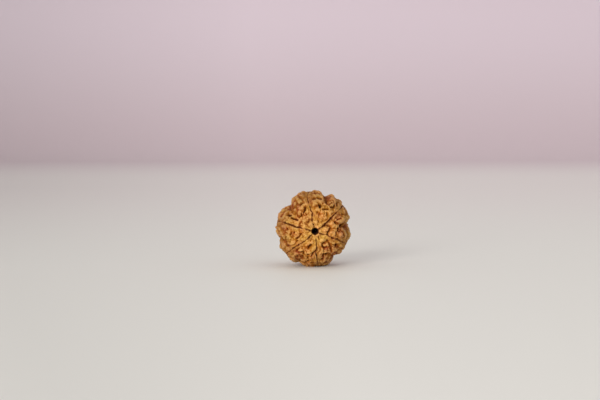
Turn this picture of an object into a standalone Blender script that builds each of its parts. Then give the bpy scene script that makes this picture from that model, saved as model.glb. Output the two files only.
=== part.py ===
"""A six-faced rudraksha seed, lying on its side with the thread hole level.

The woody stone grew as one piece, so it is one solid. A blank with its bore is turned round the Y axis,
and geometry nodes then raise and sink its surface: six seams between smooth lips run from mouth to mouth
on the crests of the lobes, six valleys part the lobes, and knobs, plates and creases cover what lies
between.
"""

import math
import random

import bpy
from mathutils import Vector

MM = 0.001

# Overall form
BLANK_RADIUS = 10.1 * MM
BLANK_HALF_LENGTH = 9.15 * MM
ROUNDNESS = 2.25
REST_HEIGHT = 10.4 * MM

# Thread hole
MOUTH_RADIUS = 0.95 * MM
WAIST_RADIUS = 0.62 * MM
RIM_RADIUS = 0.35 * MM

# Seams and their lips
SEAM_REACH = 0.27 * MM
SEAM_DEPTH = 0.85 * MM
LIP_WIDTH = 0.85 * MM
LIP_FADE = 0.4 * MM
LIP_EDGE_WIDTH = 0.24 * MM
LIP_EDGE_DEPTH = 0.26 * MM
SKIN_HEIGHT = 0.4 * MM

# Knobs: those near the mouth and on the front are lower
KNOB_SPACING = 2.1 * MM
KNOB_HEIGHT = 0.88 * MM
KNOB_RANDOMNESS = 0.9
KNOB_EDGE = 0.42
LOWEST_KNOB = 0.55
KNOB_RANGE = 0.9
JOINED_KNOBS = 0.75
MOUTH_KNOBS = 0.3
MOUTH_LIMITS = (1.6 * MM, 5.0 * MM)
FRONT_KNOBS = 0.75
FRONT_LIMITS = (-7.0 * MM, -3.5 * MM)

# Lobes, creases and the uneven whole
LOBE_LIMITS = (0.35, 0.9)
VALLEY_POWER = 1.4
DISH_REACH = 2.3
DISH_SHARE = 0.35
SWELL_SPACING = 6.0 * MM
SWELL_HEIGHT = 0.35 * MM

# How each guide wavers: spacing of its bends, and how far they reach
SEAM_STRAY = (1.3 * MM, 0.12 * MM)
KNOB_STRAY = (2.4 * MM, 0.85 * MM)
VALLEY_STRAY = (3.0 * MM, 0.4 * MM)
BUMP_STRAY = (1.2 * MM, 0.4 * MM)
CREASE_STRAY = (0.8 * MM, 0.2 * MM)

# Patches of the surface: spacing, noise at their lower and upper edge, and what those edges give
SEAM_REACH_PATCHES = (0.9 * MM, 0.3, 0.7, 0.55, 1.25)
LIP_WIDTH_PATCHES = (2.6 * MM, 0.35, 0.65, 0.6, 1.35)
LIP_EDGE_PATCHES = (1.7 * MM, 0.42, 0.6, 0.0, 1.0)
KNOBS_APART_PATCHES = (2.2 * MM, 0.38, 0.56, 0.15, 1.0)

# How the front is seen: sideways and upwards slope of the line of sight
SIDE_SLOPE = 0.0436
RISE_SLOPE = 0.0871
FARTHEST_SHARE = 0.985

# Each seam on the front, as seen: angle round the mouth, distance from its middle, and strength
SEAMS = (
    (
        (33, 0.9, 0.4),
        (34, 2.0, 0.7),
        (36, 3.2, 0.6),
        (38, 4.0, 0.8),
        (39, 5.0, 1.1),
        (41, 6.3, 1.2),
        (41.5, 7.3, 0.9),
        (42, 8.2, 0.5),
        (42, 9.2, 0.8),
        (43, 9.8, 1.2),
    ),
    (
        (104, 0.9, 0.3),
        (104.5, 2.1, 0.6),
        (105, 2.6, 0.3),
        (105, 3.15, 1.3),
        (101.5, 4.0, 0.9),
        (98.5, 5.0, 1.1),
        (101.5, 5.7, 0.9),
        (102, 6.7, 1.1),
        (102.5, 7.4, 0.4),
        (103, 8.3, 1.0),
        (103, 9.8, 0.7),
    ),
    (
        (169.5, 0.9, 0.6),
        (169, 1.6, 0.7),
        (166, 2.6, 1.0),
        (166.5, 3.2, 0.3),
        (166.5, 3.7, 1.0),
        (164.5, 4.3, 1.2),
        (167, 5.1, 1.1),
        (165.5, 6.0, 0.9),
        (165, 6.7, 1.1),
        (164, 7.6, 0.8),
        (164, 8.4, 1.1),
        (163.5, 9.8, 0.4),
    ),
    (
        (226, 0.9, 0.4),
        (225, 2.1, 0.8),
        (225, 2.7, 1.2),
        (223.5, 3.4, 0.4),
        (222.5, 4.1, 1.0),
        (221, 4.7, 0.8),
        (219, 5.7, 1.1),
        (217.5, 6.5, 0.8),
        (217, 7.4, 1.3),
        (218, 8.0, 0.4),
        (218, 8.6, 0.8),
        (216, 9.8, 0.7),
    ),
    (
        (275, 0.9, 0.2),
        (275.5, 1.9, 0.3),
        (276, 2.5, 0.9),
        (276, 3.0, 1.1),
        (275.5, 3.8, 0.9),
        (275, 4.9, 1.2),
        (271, 5.6, 0.9),
        (272.5, 6.4, 1.1),
        (274, 7.3, 0.9),
        (275, 8.8, 0.6),
        (275, 9.8, 0.8),
    ),
    (
        (335, 0.9, 0.3),
        (338.5, 2.4, 0.9),
        (343, 2.9, 0.3),
        (345, 3.3, 1.2),
        (341, 4.0, 0.8),
        (338, 5.1, 1.2),
        (339, 5.8, 0.7),
        (340, 6.6, 1.2),
        (338.5, 7.6, 0.9),
        (338, 9.8, 0.6),
    ),
)
SIDE_SEAM_STRENGTHS = (0.4, 1.15)
SIDE_SEAM_STEPS = 16

# How much each seam's lobe stands out at the waist, beyond the turned blank
LOBE_LIFTS = (0.1, 0.0, -0.1, 0.1, 0.1, -0.4)

# Each valley's angle round the mouth, its depth and its reach to either side, at the waist of the seed
VALLEYS = (
    (9, 2.2, 2.6),
    (72, 1.5, 1.7),
    (135, 2.0, 3.4),
    (196, 1.0, 2.4),
    (250, 0.9, 2.2),
    (306, 1.3, 2.4),
)
VALLEY_START = 28.0
VALLEY_FULL = 68.0

# Creases and pits on the front: depth, reach, and the angle round the mouth and distance of each point
FRONT_CREASES = (
    (0.9, 0.40, ((91, 9.1),)),
    (1.0, 0.48, ((84.5, 9.3), (80, 9.2))),
    (1.1, 0.58, ((79.5, 7.4), (78.5, 6.9))),
    (0.4, 0.30, ((85, 6.9),)),
    (0.5, 0.30, ((75.5, 7.9),)),
    (0.7, 0.36, ((70, 6.3), (64, 6.6), (61, 6.8))),
    (1.0, 0.42, ((60, 6.9),)),
    (0.6, 0.30, ((58, 5.9), (55, 5.5))),
    (0.6, 0.34, ((83, 5.3),)),
    (0.8, 0.40, ((57, 7.8), (53, 8.2), (54, 8.8))),
    (0.8, 0.36, ((54, 9.8), (51, 9.4), (49.5, 9.1))),
    (0.4, 0.36, ((75, 4.9),)),
    (0.3, 0.40, ((58, 3.5),)),
    (1.2, 0.46, ((24.8, 5.95),)),
    (0.4, 0.26, ((28, 6.7), (27, 7.4))),
    (0.6, 0.30, ((26.8, 7.6),)),
    (0.3, 0.30, ((34, 7.9),)),
    (1.1, 0.46, ((12, 7.2), (12.6, 7.8), (14, 8.5))),
    (0.6, 0.34, ((5.5, 8.6),)),
    (1.0, 0.42, ((8, 6.7), (3, 6.4))),
    (0.5, 0.30, ((2, 6.2), (-3, 5.8), (-8, 5.7))),
    (0.55, 0.30, ((-13, 3.4), (-4, 3.5), (1, 3.7), (8, 3.9), (14, 4.15))),
    (0.4, 0.30, ((14, 4.15), (20, 4.1), (26, 3.7), (30, 3.1))),
    (0.9, 0.42, ((-7.5, 8.1), (-10, 8.3))),
    (0.7, 0.30, ((309, 4.2), (303, 3.9), (298, 4.1), (296, 4.6), (297.5, 5.2), (301, 5.4), (306, 5.3))),
    (1.0, 0.44, ((286.5, 6.9), (290, 6.75), (293, 6.9), (296, 7.3))),
    (0.6, 0.32, ((290, 6.8), (288, 7.4))),
    (0.7, 0.42, ((284, 7.8),)),
    (0.9, 0.75, ((326, 7.2),)),
    (0.5, 0.42, ((322, 4.2), (319.5, 5.0), (317, 5.8), (313, 6.6), (309, 7.4))),
    (0.6, 0.50, ((314, 8.1),)),
    (0.8, 0.54, ((252, 3.9), (250.5, 4.5), (248, 5.0))),
    (0.3, 0.40, ((238, 4.9),)),
    (0.8, 0.42, ((253, 6.7),)),
    (0.5, 0.30, ((254, 7.2), (255, 7.6))),
    (0.8, 0.44, ((256.5, 8.2),)),
    (0.6, 0.36, ((233, 7.0), (237, 6.7), (241, 6.5), (243, 7.0))),
    (0.8, 0.44, ((243, 7.6),)),
    (0.7, 0.36, ((234.7, 8.3),)),
    (0.65, 0.30, ((271, 5.3), (266, 5.8), (263, 6.3), (262, 6.8))),
    (0.3, 0.26, ((226, 6.2), (226, 7.4))),
    (0.85, 0.40, ((174.5, 7.7),)),
    (0.9, 0.40, ((187, 6.75),)),
    (0.5, 0.30, ((182.5, 6.4), (185, 6.6))),
    (0.4, 0.28, ((190, 6.7), (194, 6.5))),
    (0.65, 0.34, ((184, 5.7),)),
    (0.7, 0.36, ((190, 4.0), (197, 4.35), (200, 4.9), (201, 5.4))),
    (0.5, 0.30, ((203, 5.6), (207, 5.6))),
    (0.85, 0.38, ((191, 8.2), (194, 8.4))),
    (0.5, 0.34, ((196, 8.5), (200, 8.7), (204, 8.8))),
    (0.85, 0.38, ((206, 8.7), (208, 8.3))),
    (1.0, 0.44, ((118, 8.4),)),
    (0.5, 0.30, ((120, 8.6), (122, 8.9))),
    (0.8, 0.40, ((123.5, 9.15),)),
    (0.9, 0.36, ((120.5, 6.2), (117, 6.4), (113.5, 6.9), (112, 7.3))),
    (0.6, 0.30, ((117, 5.3),)),
    (0.7, 0.30, ((129, 6.0), (132, 5.8), (138, 5.85))),
    (1.0, 0.48, ((148.5, 9.5), (149, 8.8), (147.5, 8.3))),
    (0.9, 0.38, ((150, 7.8), (150.5, 7.0), (148, 6.4), (147, 5.7))),
    (0.5, 0.36, ((155, 9.2),)),
    (0.3, 0.30, ((156, 6.4),)),
    (0.4, 0.28, ((143, 4.6), (149, 4.7), (156, 4.6), (160, 4.5))),
    (0.4, 0.26, ((108, 3.3), (112, 3.5), (118, 3.4), (125, 3.1), (132, 3.3), (139, 3.3))),
    (0.5, 0.42, ((132.5, 9.4),)),
    (0.4, 0.32, ((113.5, 9.8),)),
)

# Knobs and plates that stand out on the front: height, reach, angle round the mouth and distance
FRONT_BUMPS = (
    (0.35, 0.9, 66.5, 7.7),
    (0.30, 0.7, 56.0, 7.1),
    (0.25, 0.5, 66.0, 4.6),
    (0.40, 0.8, 15.0, 2.7),
    (0.25, 0.4, -2.0, 4.5),
    (0.30, 0.7, -13.0, 5.2),
    (0.30, 0.9, -7.5, 6.8),
    (0.25, 0.4, 336.0, 5.5),
    (0.30, 0.6, 334.0, 7.2),
    (0.25, 0.4, 304.5, 4.7),
    (0.25, 0.7, 308.0, 3.0),
    (0.30, 0.5, 249.5, 7.6),
    (0.30, 0.6, 243.0, 5.6),
    (0.35, 0.8, 231.5, 6.0),
    (0.30, 1.1, 205.0, 6.9),
    (0.25, 0.4, 195.5, 5.4),
    (0.25, 0.4, 192.0, 7.4),
    (0.35, 0.8, 122.0, 2.4),
    (0.35, 0.9, 134.5, 4.3),
    (0.25, 0.5, 121.5, 7.5),
    (0.25, 0.5, 145.0, 7.4),
    (0.25, 0.5, 133.0, 7.8),
    (0.25, 0.8, 141.5, 9.4),
)

# Creases drawn over the sides and the back
DRAWN_LIMITS = (68.0, 167.0)
DRAWN_TRIES = 1500
DRAWN_SPACING = 1.75
DRAWN_REACHES = (0.3, 0.6)
DRAWN_DEPTHS = (0.5, 1.1)
DRAWN_LENGTHS = (0.0, 2.2)
DRAWN_STEP = 0.45
DRAWN_TURN = 0.7
DRAWN_SEED = 6

# Mesh
TURN_STEPS = 400
PROFILE_POINTS = 170
BORE_POINTS = 14
RIM_POINTS = 4
GUIDE_POINTS = 90
GUIDE_SPACING = 0.15 * MM
KEPT_FACES = 0.077

STONE_COLOUR = (0.388, 0.165, 0.041, 1.0)
STONE_ROUGHNESS = 0.55


def clear_scene():
    for old in list(bpy.data.objects):
        bpy.data.objects.remove(old)


def new_collection(name):
    made = bpy.data.collections.new(name)
    bpy.context.scene.collection.children.link(made)
    return made


def on_blank(around, out):
    """The point of the smooth blank at an angle round the axis and an angle out from the front pole."""
    across = math.sin(out)
    along = -math.cos(out)
    radius = (
        abs(across / BLANK_RADIUS) ** ROUNDNESS + abs(along / BLANK_HALF_LENGTH) ** ROUNDNESS
    ) ** (-1 / ROUNDNESS)
    return Vector(
        (
            radius * across * math.cos(around),
            radius * along,
            radius * across * math.sin(around),
        )
    )


def blank_profile():
    """The closed outline that is turned: the outer side from front to back, then the bore back again."""
    first_out = math.atan((MOUTH_RADIUS + RIM_RADIUS) / BLANK_HALF_LENGTH)
    outs = [
        first_out + (math.pi - 2 * first_out) * i / (PROFILE_POINTS - 1)
        for i in range(PROFILE_POINTS)
    ]
    outer = [on_blank(0, out) for out in outs]
    face = abs(outer[0].y)
    back_rim = []
    for i in range(1, RIM_POINTS + 1):
        turn = math.pi / 2 * i / RIM_POINTS
        across = MOUTH_RADIUS + RIM_RADIUS * (1 - math.sin(turn))
        back_rim.append(Vector((across, face - RIM_RADIUS * (1 - math.cos(turn)), 0)))
    bore = []
    for i in range(1, BORE_POINTS):
        share = math.cos(math.pi * i / BORE_POINTS)
        radius = WAIST_RADIUS + (MOUTH_RADIUS - WAIST_RADIUS) * share**8
        bore.append(Vector((radius, (face - RIM_RADIUS) * share, 0)))
    front_rim = [Vector((p.x, -p.y, 0)) for p in reversed(back_rim)]
    return outer + back_rim + bore + front_rim


def turned_blank(collection):
    """The blank with its bore, turned round the Y axis by a Screw modifier."""
    points = blank_profile()
    edges = [(i, (i + 1) % len(points)) for i in range(len(points))]
    mesh = bpy.data.meshes.new("rudraksha_seed")
    mesh.from_pydata(points, edges, [])
    seed = bpy.data.objects.new("rudraksha_seed", mesh)
    collection.objects.link(seed)
    screw = seed.modifiers.new("turn", "SCREW")
    screw.axis = "Y"
    screw.angle = 2 * math.pi
    screw.steps = TURN_STEPS
    screw.render_steps = TURN_STEPS
    screw.use_merge_vertices = True
    screw.merge_threshold = 0.001 * MM
    screw.use_normal_calculate = True
    return seed


def seen_on_front(around, distance):
    """The point of the blank's front that is seen at an angle and a distance, in mm, from the mouth."""
    seen_x = distance * MM * math.cos(math.radians(around))
    seen_z = distance * MM * math.sin(math.radians(around))
    x, z, along = seen_x, seen_z, BLANK_HALF_LENGTH
    for _ in range(6):
        share = min(math.hypot(x, z) / BLANK_RADIUS, FARTHEST_SHARE)
        along = BLANK_HALF_LENGTH * (1 - share**ROUNDNESS) ** (1 / ROUNDNESS)
        drop = BLANK_HALF_LENGTH - along
        x = seen_x + SIDE_SLOPE * drop
        z = seen_z - RISE_SLOPE * drop
    return Vector((x, -along, z))


def angles_of(place):
    """The angle round the axis and the angle out from the front pole of a point."""
    return math.atan2(place.z, place.x), math.atan2(math.hypot(place.x, place.z), -place.y)


def filled_in(rows):
    """Rows of a place and its values, with more rows between them at the guides' spacing."""
    line = [rows[0]]
    for before, after in zip(rows, rows[1:]):
        steps = max(1, math.ceil((after[0] - before[0]).length / GUIDE_SPACING))
        for i in range(1, steps + 1):
            share = i / steps
            row = [b + (a - b) * share for b, a in zip(before, after)]
            line.append((on_blank(*angles_of(row[0])), *row[1:]))
    return line


def guide(name, lines, collection, *attributes):
    """A hidden mesh of lines of points, with the named values of each row stored at its point."""
    points = [row[0] for line in lines for row in line]
    edges = []
    start = 0
    for line in lines:
        edges += [(start + i, start + i + 1) for i in range(len(line) - 1)]
        start += len(line)
    mesh = bpy.data.meshes.new(name)
    mesh.from_pydata(points, edges, [])
    for column, attribute in enumerate(attributes, 1):
        values = [row[column] for line in lines for row in line]
        mesh.attributes.new(attribute, "FLOAT", "POINT").data.foreach_set("value", values)
    made = bpy.data.objects.new(name, mesh)
    made.hide_render = True
    made.display_type = "WIRE"
    collection.objects.link(made)
    return made


def ease(value, low, high):
    """0 below low, 1 above high, and a smooth rise between."""
    share = min(max((value - low) / (high - low), 0.0), 1.0)
    return share * share * (3 - 2 * share)


def seam_lines(draw):
    """The six seams from mouth to mouth, with the lobe's lift and the seam's strength at each point."""
    lines = []
    for number, seam in enumerate(SEAMS):
        rows = [(seen_on_front(around, distance), strength) for around, distance, strength in seam]
        around, out = angles_of(rows[-1][0])

        def wander(at):
            return 4 * math.sin(2.3 * at + number) + 2 * math.sin(6 * at + 2 * number)

        for i in range(1, SIDE_SEAM_STEPS + 1):
            at = out + (math.pi - out) * i / SIDE_SEAM_STEPS
            turned = around + math.radians(wander(at) - wander(out))
            rows.append((on_blank(turned, at), draw.uniform(*SIDE_SEAM_STRENGTHS)))
        line = []
        for place, strength in filled_in(rows):
            lift = LOBE_LIFTS[number] * MM * ease(math.sin(angles_of(place)[1]), *LOBE_LIMITS)
            line.append((place, lift, strength))
        lines.append(line)
    return lines


def valley_lines():
    """The six valleys between the lobes, deep at the waist and fading towards both mouths."""
    lines = []
    for number, (angle, depth, reach) in enumerate(VALLEYS):
        line = []
        for i in range(GUIDE_POINTS + 1):
            out = 180 * i / GUIDE_POINTS
            nearer_mouth = min(out, 180 - out)
            fade = ease(nearer_mouth, VALLEY_START, VALLEY_FULL)
            wander = 4 * math.sin(math.radians(4 * out) + 1.7 * number) - 4 * math.sin(1.7 * number)
            place = on_blank(math.radians(angle + wander), math.radians(out))
            line.append((place, depth * MM * fade, reach * MM * (0.5 + 0.5 * fade)))
        lines.append(line)
    return lines


def drawn_crease(draw, around, out):
    """A crease that wanders over the blank from a point, with its depth and reach."""
    depth = draw.uniform(*DRAWN_DEPTHS) * MM
    reach = draw.uniform(*DRAWN_REACHES) * MM
    length = draw.uniform(*DRAWN_LENGTHS)
    heading = draw.uniform(0, 2 * math.pi)
    place = on_blank(around, out)
    rows = [(place, depth, reach)]
    for _ in range(int(length / DRAWN_STEP)):
        heading += draw.uniform(-DRAWN_TURN, DRAWN_TURN)
        around, out = angles_of(place)
        side = Vector((-math.sin(around), 0, math.cos(around)))
        onwards = side.cross(place.normalized())
        place = place + (side * math.cos(heading) + onwards * math.sin(heading)) * DRAWN_STEP * MM
        place = on_blank(*angles_of(place))
        share = draw.uniform(0.6, 1.0)
        rows.append((place, depth * share, reach * (0.5 + 0.5 * share)))
    return rows


def crease_lines(draw, seams):
    """The creases and pits seen on the front, and others drawn over the rest, clear of the seams."""
    lines = [
        filled_in([(seen_on_front(*at), depth * MM, reach * MM) for at in points])
        for depth, reach, points in FRONT_CREASES
    ]
    on_seams = [row[0] for line in seams for row in line[::6]]
    taken = [row[0] for line in lines for row in line[::3]]
    for _ in range(DRAWN_TRIES):
        around = draw.uniform(0, 2 * math.pi)
        out = math.acos(-draw.uniform(-1, 1))
        rows = drawn_crease(draw, around, out)
        if not DRAWN_LIMITS[0] < math.degrees(out) < DRAWN_LIMITS[1]:
            continue
        reach = rows[0][2]
        if any((row[0] - p).length < LIP_WIDTH + reach for row in rows for p in on_seams):
            continue
        if any((row[0] - p).length < DRAWN_SPACING * MM for row in rows[:1] for p in taken):
            continue
        if any((row[0] - p).length < DRAWN_SPACING * MM * 0.6 for row in rows for p in taken):
            continue
        taken += [row[0] for row in rows]
        lines.append(filled_in(rows))
    return lines


def bump_points():
    """The knobs and plates that stand out on the front."""
    return [
        [(seen_on_front(around, distance), height * MM, reach * MM)]
        for height, reach, around, distance in FRONT_BUMPS
    ]


def node(tree, kind, inputs=None, out=0, **settings):
    """Adds a node with its settings, plugs or fills its named inputs, and gives back one of its outputs."""
    made = tree.nodes.new(kind)
    for name, value in settings.items():
        setattr(made, name, value)
    for name, value in (inputs or {}).items():
        if isinstance(value, bpy.types.NodeSocket):
            tree.links.new(value, made.inputs[name])
        else:
            made.inputs[name].default_value = value
    return made.outputs[out]


def stray(tree, place, spacing, distance):
    """The place, moved by up to about a distance in a direction that changes smoothly over the surface."""
    inputs = {"Vector": place, "Scale": 1 / spacing, "Detail": 1.0}
    colour = node(tree, "ShaderNodeTexNoise", inputs, "Color")
    centred = node(tree, "ShaderNodeVectorMath", {0: colour, 1: (0.5,) * 3}, operation="SUBTRACT")
    inputs = {0: centred, 1: (2 * distance,) * 3, 2: place}
    return node(tree, "ShaderNodeVectorMath", inputs, operation="MULTIPLY_ADD")


def near_guide(tree, guide_object, place, element, *names):
    """Distance to the nearest line or point of a guide, and the named lengths stored there."""
    shape = node(tree, "GeometryNodeObjectInfo", {"Object": guide_object}, "Geometry")
    inputs = {"Geometry": shape, "Sample Position": place}
    distance = node(tree, "GeometryNodeProximity", inputs, "Distance", target_element=element)
    index = node(tree, "GeometryNodeSampleNearest", inputs, domain="POINT")
    stored = []
    for name in names:
        value = node(tree, "GeometryNodeInputNamedAttribute", {"Name": name}, data_type="FLOAT")
        inputs = {"Geometry": shape, "Value": value, "Index": index}
        stored.append(node(tree, "GeometryNodeSampleIndex", inputs, domain="POINT"))
    return distance, *stored


def patches(tree, place, spacing, low, high, start, end):
    """A value that runs smoothly from start to end over patches of the surface about a spacing apart."""
    inputs = {"Vector": place, "Scale": 1 / spacing, "Detail": 1.0}
    value = node(tree, "ShaderNodeTexNoise", inputs)
    inputs = {"Value": value, "From Min": low, "From Max": high, "To Min": start, "To Max": end}
    return node(tree, "ShaderNodeMapRange", inputs, interpolation_type="SMOOTHSTEP")


def rising(tree, value, low, high, start=0.0):
    """start below low, 1 above high, and a smooth rise between."""
    inputs = {"Value": value, "From Min": low, "From Max": high, "To Min": start, "To Max": 1.0}
    return node(tree, "ShaderNodeMapRange", inputs, interpolation_type="SMOOTHSTEP")


def falling(tree, distance, reach, top=1.0):
    """top on a guide, 0 beyond its reach, and a smooth fall between."""
    inputs = {"Value": distance, "From Max": reach, "To Min": top, "To Max": 0.0}
    return node(tree, "ShaderNodeMapRange", inputs, interpolation_type="SMOOTHSTEP")


def seam_relief(tree, guide_object, place):
    """Depth of the seams and of the broken groove along their lips, how far past the lips, and the lift."""
    bent = stray(tree, place, *SEAM_STRAY)
    distance, lift, strength = near_guide(tree, guide_object, bent, "EDGES", "lift", "strength")
    reach = patches(tree, place, *SEAM_REACH_PATCHES)
    reach = node(tree, "ShaderNodeMath", {0: reach, 1: strength}, operation="MULTIPLY")
    reach = node(tree, "ShaderNodeMath", {0: reach, 1: SEAM_REACH}, operation="MULTIPLY")
    share = falling(tree, distance, reach)
    depth = node(tree, "ShaderNodeMath", {0: strength, 1: SEAM_DEPTH}, operation="MULTIPLY")
    seam = node(tree, "ShaderNodeMath", {0: share, 1: depth}, operation="MULTIPLY")

    lip = patches(tree, place, *LIP_WIDTH_PATCHES)
    lip = node(tree, "ShaderNodeMath", {0: lip, 1: LIP_WIDTH}, operation="MULTIPLY")
    from_lip = node(tree, "ShaderNodeMath", {0: distance, 1: lip}, operation="SUBTRACT")
    from_lip = node(tree, "ShaderNodeMath", {0: from_lip}, operation="ABSOLUTE")
    edge = falling(tree, from_lip, LIP_EDGE_WIDTH, LIP_EDGE_DEPTH)
    broken = patches(tree, place, *LIP_EDGE_PATCHES)
    edge = node(tree, "ShaderNodeMath", {0: edge, 1: broken}, operation="MULTIPLY")
    wide = node(tree, "ShaderNodeMath", {0: lip, 1: LIP_FADE}, operation="ADD")
    past_lips = rising(tree, distance, lip, wide)
    return seam, edge, past_lips, lift


def knob_relief(tree, place):
    """Height of the knobs: rounded cells of unlike heights, some of them run together into short ridges."""
    bent = stray(tree, place, *KNOB_STRAY)
    cell = {"Vector": bent, "Scale": 1 / KNOB_SPACING, "Randomness": KNOB_RANDOMNESS}
    edge = node(tree, "ShaderNodeTexVoronoi", cell, "Distance", feature="DISTANCE_TO_EDGE")
    own = node(tree, "ShaderNodeTexVoronoi", cell, "Color", feature="F1")
    inputs = {"Value": edge, "From Max": KNOB_EDGE, "To Min": 1.0, "To Max": 0.0}
    fall = node(tree, "ShaderNodeMapRange", inputs)
    fall = node(tree, "ShaderNodeMath", {0: fall, 1: 2.0}, operation="POWER")
    dome = node(tree, "ShaderNodeMath", {0: 1.0, 1: fall}, operation="SUBTRACT")
    own = node(tree, "ShaderNodeMath", {0: own, 1: KNOB_RANGE, 2: LOWEST_KNOB}, operation="MULTIPLY_ADD")
    tall = node(tree, "ShaderNodeMath", {0: dome, 1: own}, operation="MULTIPLY")
    apart = patches(tree, place, *KNOBS_APART_PATCHES)
    share = node(tree, "ShaderNodeMix", {"Factor": apart, 2: JOINED_KNOBS, 3: tall})
    return node(tree, "ShaderNodeMath", {0: share, 1: KNOB_HEIGHT}, operation="MULTIPLY")


def surface_tree(seams, valleys, creases, bumps):
    """Geometry nodes that raise and sink the turned blank along its normals."""
    tree = bpy.data.node_groups.new("seed surface", "GeometryNodeTree")
    for in_out in ("INPUT", "OUTPUT"):
        tree.interface.new_socket("Geometry", in_out=in_out, socket_type="NodeSocketGeometry")
    blank = tree.nodes.new("NodeGroupInput").outputs["Geometry"]
    place = node(tree, "GeometryNodeInputPosition")
    flat = node(tree, "ShaderNodeVectorMath", {0: place, 1: (1, 0, 1)}, operation="MULTIPLY")
    across = node(tree, "ShaderNodeVectorMath", {0: flat}, "Value", operation="LENGTH")

    seam, edge, past_lips, lift = seam_relief(tree, seams, place)
    from_mouth = rising(tree, across, *MOUTH_LIMITS, MOUTH_KNOBS)
    rough = node(tree, "ShaderNodeMath", {0: past_lips, 1: from_mouth}, operation="MULTIPLY")
    knobs = knob_relief(tree, place)
    along = node(tree, "ShaderNodeSeparateXYZ", {"Vector": place}, "Y")
    off_front = rising(tree, along, *FRONT_LIMITS, FRONT_KNOBS)
    knobbly = node(tree, "ShaderNodeMath", {0: rough, 1: off_front}, operation="MULTIPLY")
    height = node(tree, "ShaderNodeMix", {"Factor": knobbly, 2: SKIN_HEIGHT, 3: knobs})

    bent = stray(tree, place, *VALLEY_STRAY)
    distance, depth, reach = near_guide(tree, valleys, bent, "EDGES", "depth", "reach")
    inputs = {"Value": distance, "From Max": reach, "To Min": 1.0, "To Max": 0.0}
    in_valley = node(tree, "ShaderNodeMapRange", inputs)
    in_valley = node(tree, "ShaderNodeMath", {0: in_valley, 1: VALLEY_POWER}, operation="POWER")
    valley = node(tree, "ShaderNodeMath", {0: in_valley, 1: depth}, operation="MULTIPLY")
    on_lobe = node(tree, "ShaderNodeMath", {0: 1.0, 1: in_valley}, operation="SUBTRACT")
    height = node(tree, "ShaderNodeMath", {0: lift, 1: on_lobe, 2: height}, operation="MULTIPLY_ADD")

    bent = stray(tree, place, *BUMP_STRAY)
    distance, depth, reach = near_guide(tree, bumps, bent, "POINTS", "depth", "reach")
    on_bump = falling(tree, distance, reach)
    height = node(tree, "ShaderNodeMath", {0: on_bump, 1: depth, 2: height}, operation="MULTIPLY_ADD")

    bent = stray(tree, place, *CREASE_STRAY)
    distance, depth, reach = near_guide(tree, creases, bent, "POINTS", "depth", "reach")
    core = falling(tree, distance, reach)
    wide = node(tree, "ShaderNodeMath", {0: reach, 1: DISH_REACH}, operation="MULTIPLY")
    dish = falling(tree, distance, wide, DISH_SHARE)
    in_pit = node(tree, "ShaderNodeMath", {0: core, 1: dish}, operation="ADD")
    pit = node(tree, "ShaderNodeMath", {0: in_pit, 1: depth}, operation="MULTIPLY")

    for sunk in (edge, valley, pit):
        height = node(tree, "ShaderNodeMath", {0: height, 1: sunk}, operation="SUBTRACT")
    height = node(tree, "GeometryNodeBlurAttribute", {"Value": height, "Iterations": 1})
    height = node(tree, "ShaderNodeMath", {0: height, 1: seam}, operation="SUBTRACT")
    swell = node(tree, "ShaderNodeTexNoise", {"Vector": place, "Scale": 1 / SWELL_SPACING, "Detail": 1.0})
    swell = node(tree, "ShaderNodeMath", {0: swell, 1: 0.5}, operation="SUBTRACT")
    inputs = {0: swell, 1: 2 * SWELL_HEIGHT, 2: height}
    height = node(tree, "ShaderNodeMath", inputs, operation="MULTIPLY_ADD")
    outside = rising(tree, across, MOUTH_RADIUS, MOUTH_RADIUS + RIM_RADIUS)
    height = node(tree, "ShaderNodeMath", {0: height, 1: outside}, operation="MULTIPLY")

    normal = node(tree, "GeometryNodeInputNormal")
    offset = node(tree, "ShaderNodeVectorMath", {0: normal, "Scale": height}, operation="SCALE")
    shaped = node(tree, "GeometryNodeSetPosition", {"Geometry": blank, "Offset": offset})
    tree.links.new(shaped, tree.nodes.new("NodeGroupOutput").inputs["Geometry"])
    return tree


def rest_tree():
    """Geometry nodes that flatten the lowest knob tops to the height of the surface under the seed."""
    tree = bpy.data.node_groups.new("resting spots", "GeometryNodeTree")
    for in_out in ("INPUT", "OUTPUT"):
        tree.interface.new_socket("Geometry", in_out=in_out, socket_type="NodeSocketGeometry")
    shaped = tree.nodes.new("NodeGroupInput").outputs["Geometry"]
    place = node(tree, "GeometryNodeInputPosition")
    lowest = {0: place, 1: (-1.0, -1.0, -REST_HEIGHT)}
    lifted = node(tree, "ShaderNodeVectorMath", lowest, operation="MAXIMUM")
    rested = node(tree, "GeometryNodeSetPosition", {"Geometry": shaped, "Position": lifted})
    tree.links.new(rested, tree.nodes.new("NodeGroupOutput").inputs["Geometry"])
    return tree


def stone_material():
    """Dry woody stone, ochre brown and a little glossy from handling."""
    material = bpy.data.materials.new("woody_stone")
    material.use_nodes = True
    shader = material.node_tree.nodes["Principled BSDF"]
    shader.inputs["Base Color"].default_value = STONE_COLOUR
    shader.inputs["Roughness"].default_value = STONE_ROUGHNESS
    shader.inputs["Metallic"].default_value = 0.0
    return material


def place_on_surface(seed):
    """Stands the seed on the plane z = 0 with the middle of its bounding box over the origin."""
    bpy.context.view_layer.update()
    shaped = seed.evaluated_get(bpy.context.evaluated_depsgraph_get())
    low = Vector(shaped.bound_box[0])
    high = Vector(shaped.bound_box[6])
    middle = (low + high) / 2
    seed.location = (-middle.x, -middle.y, REST_HEIGHT)


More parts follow.
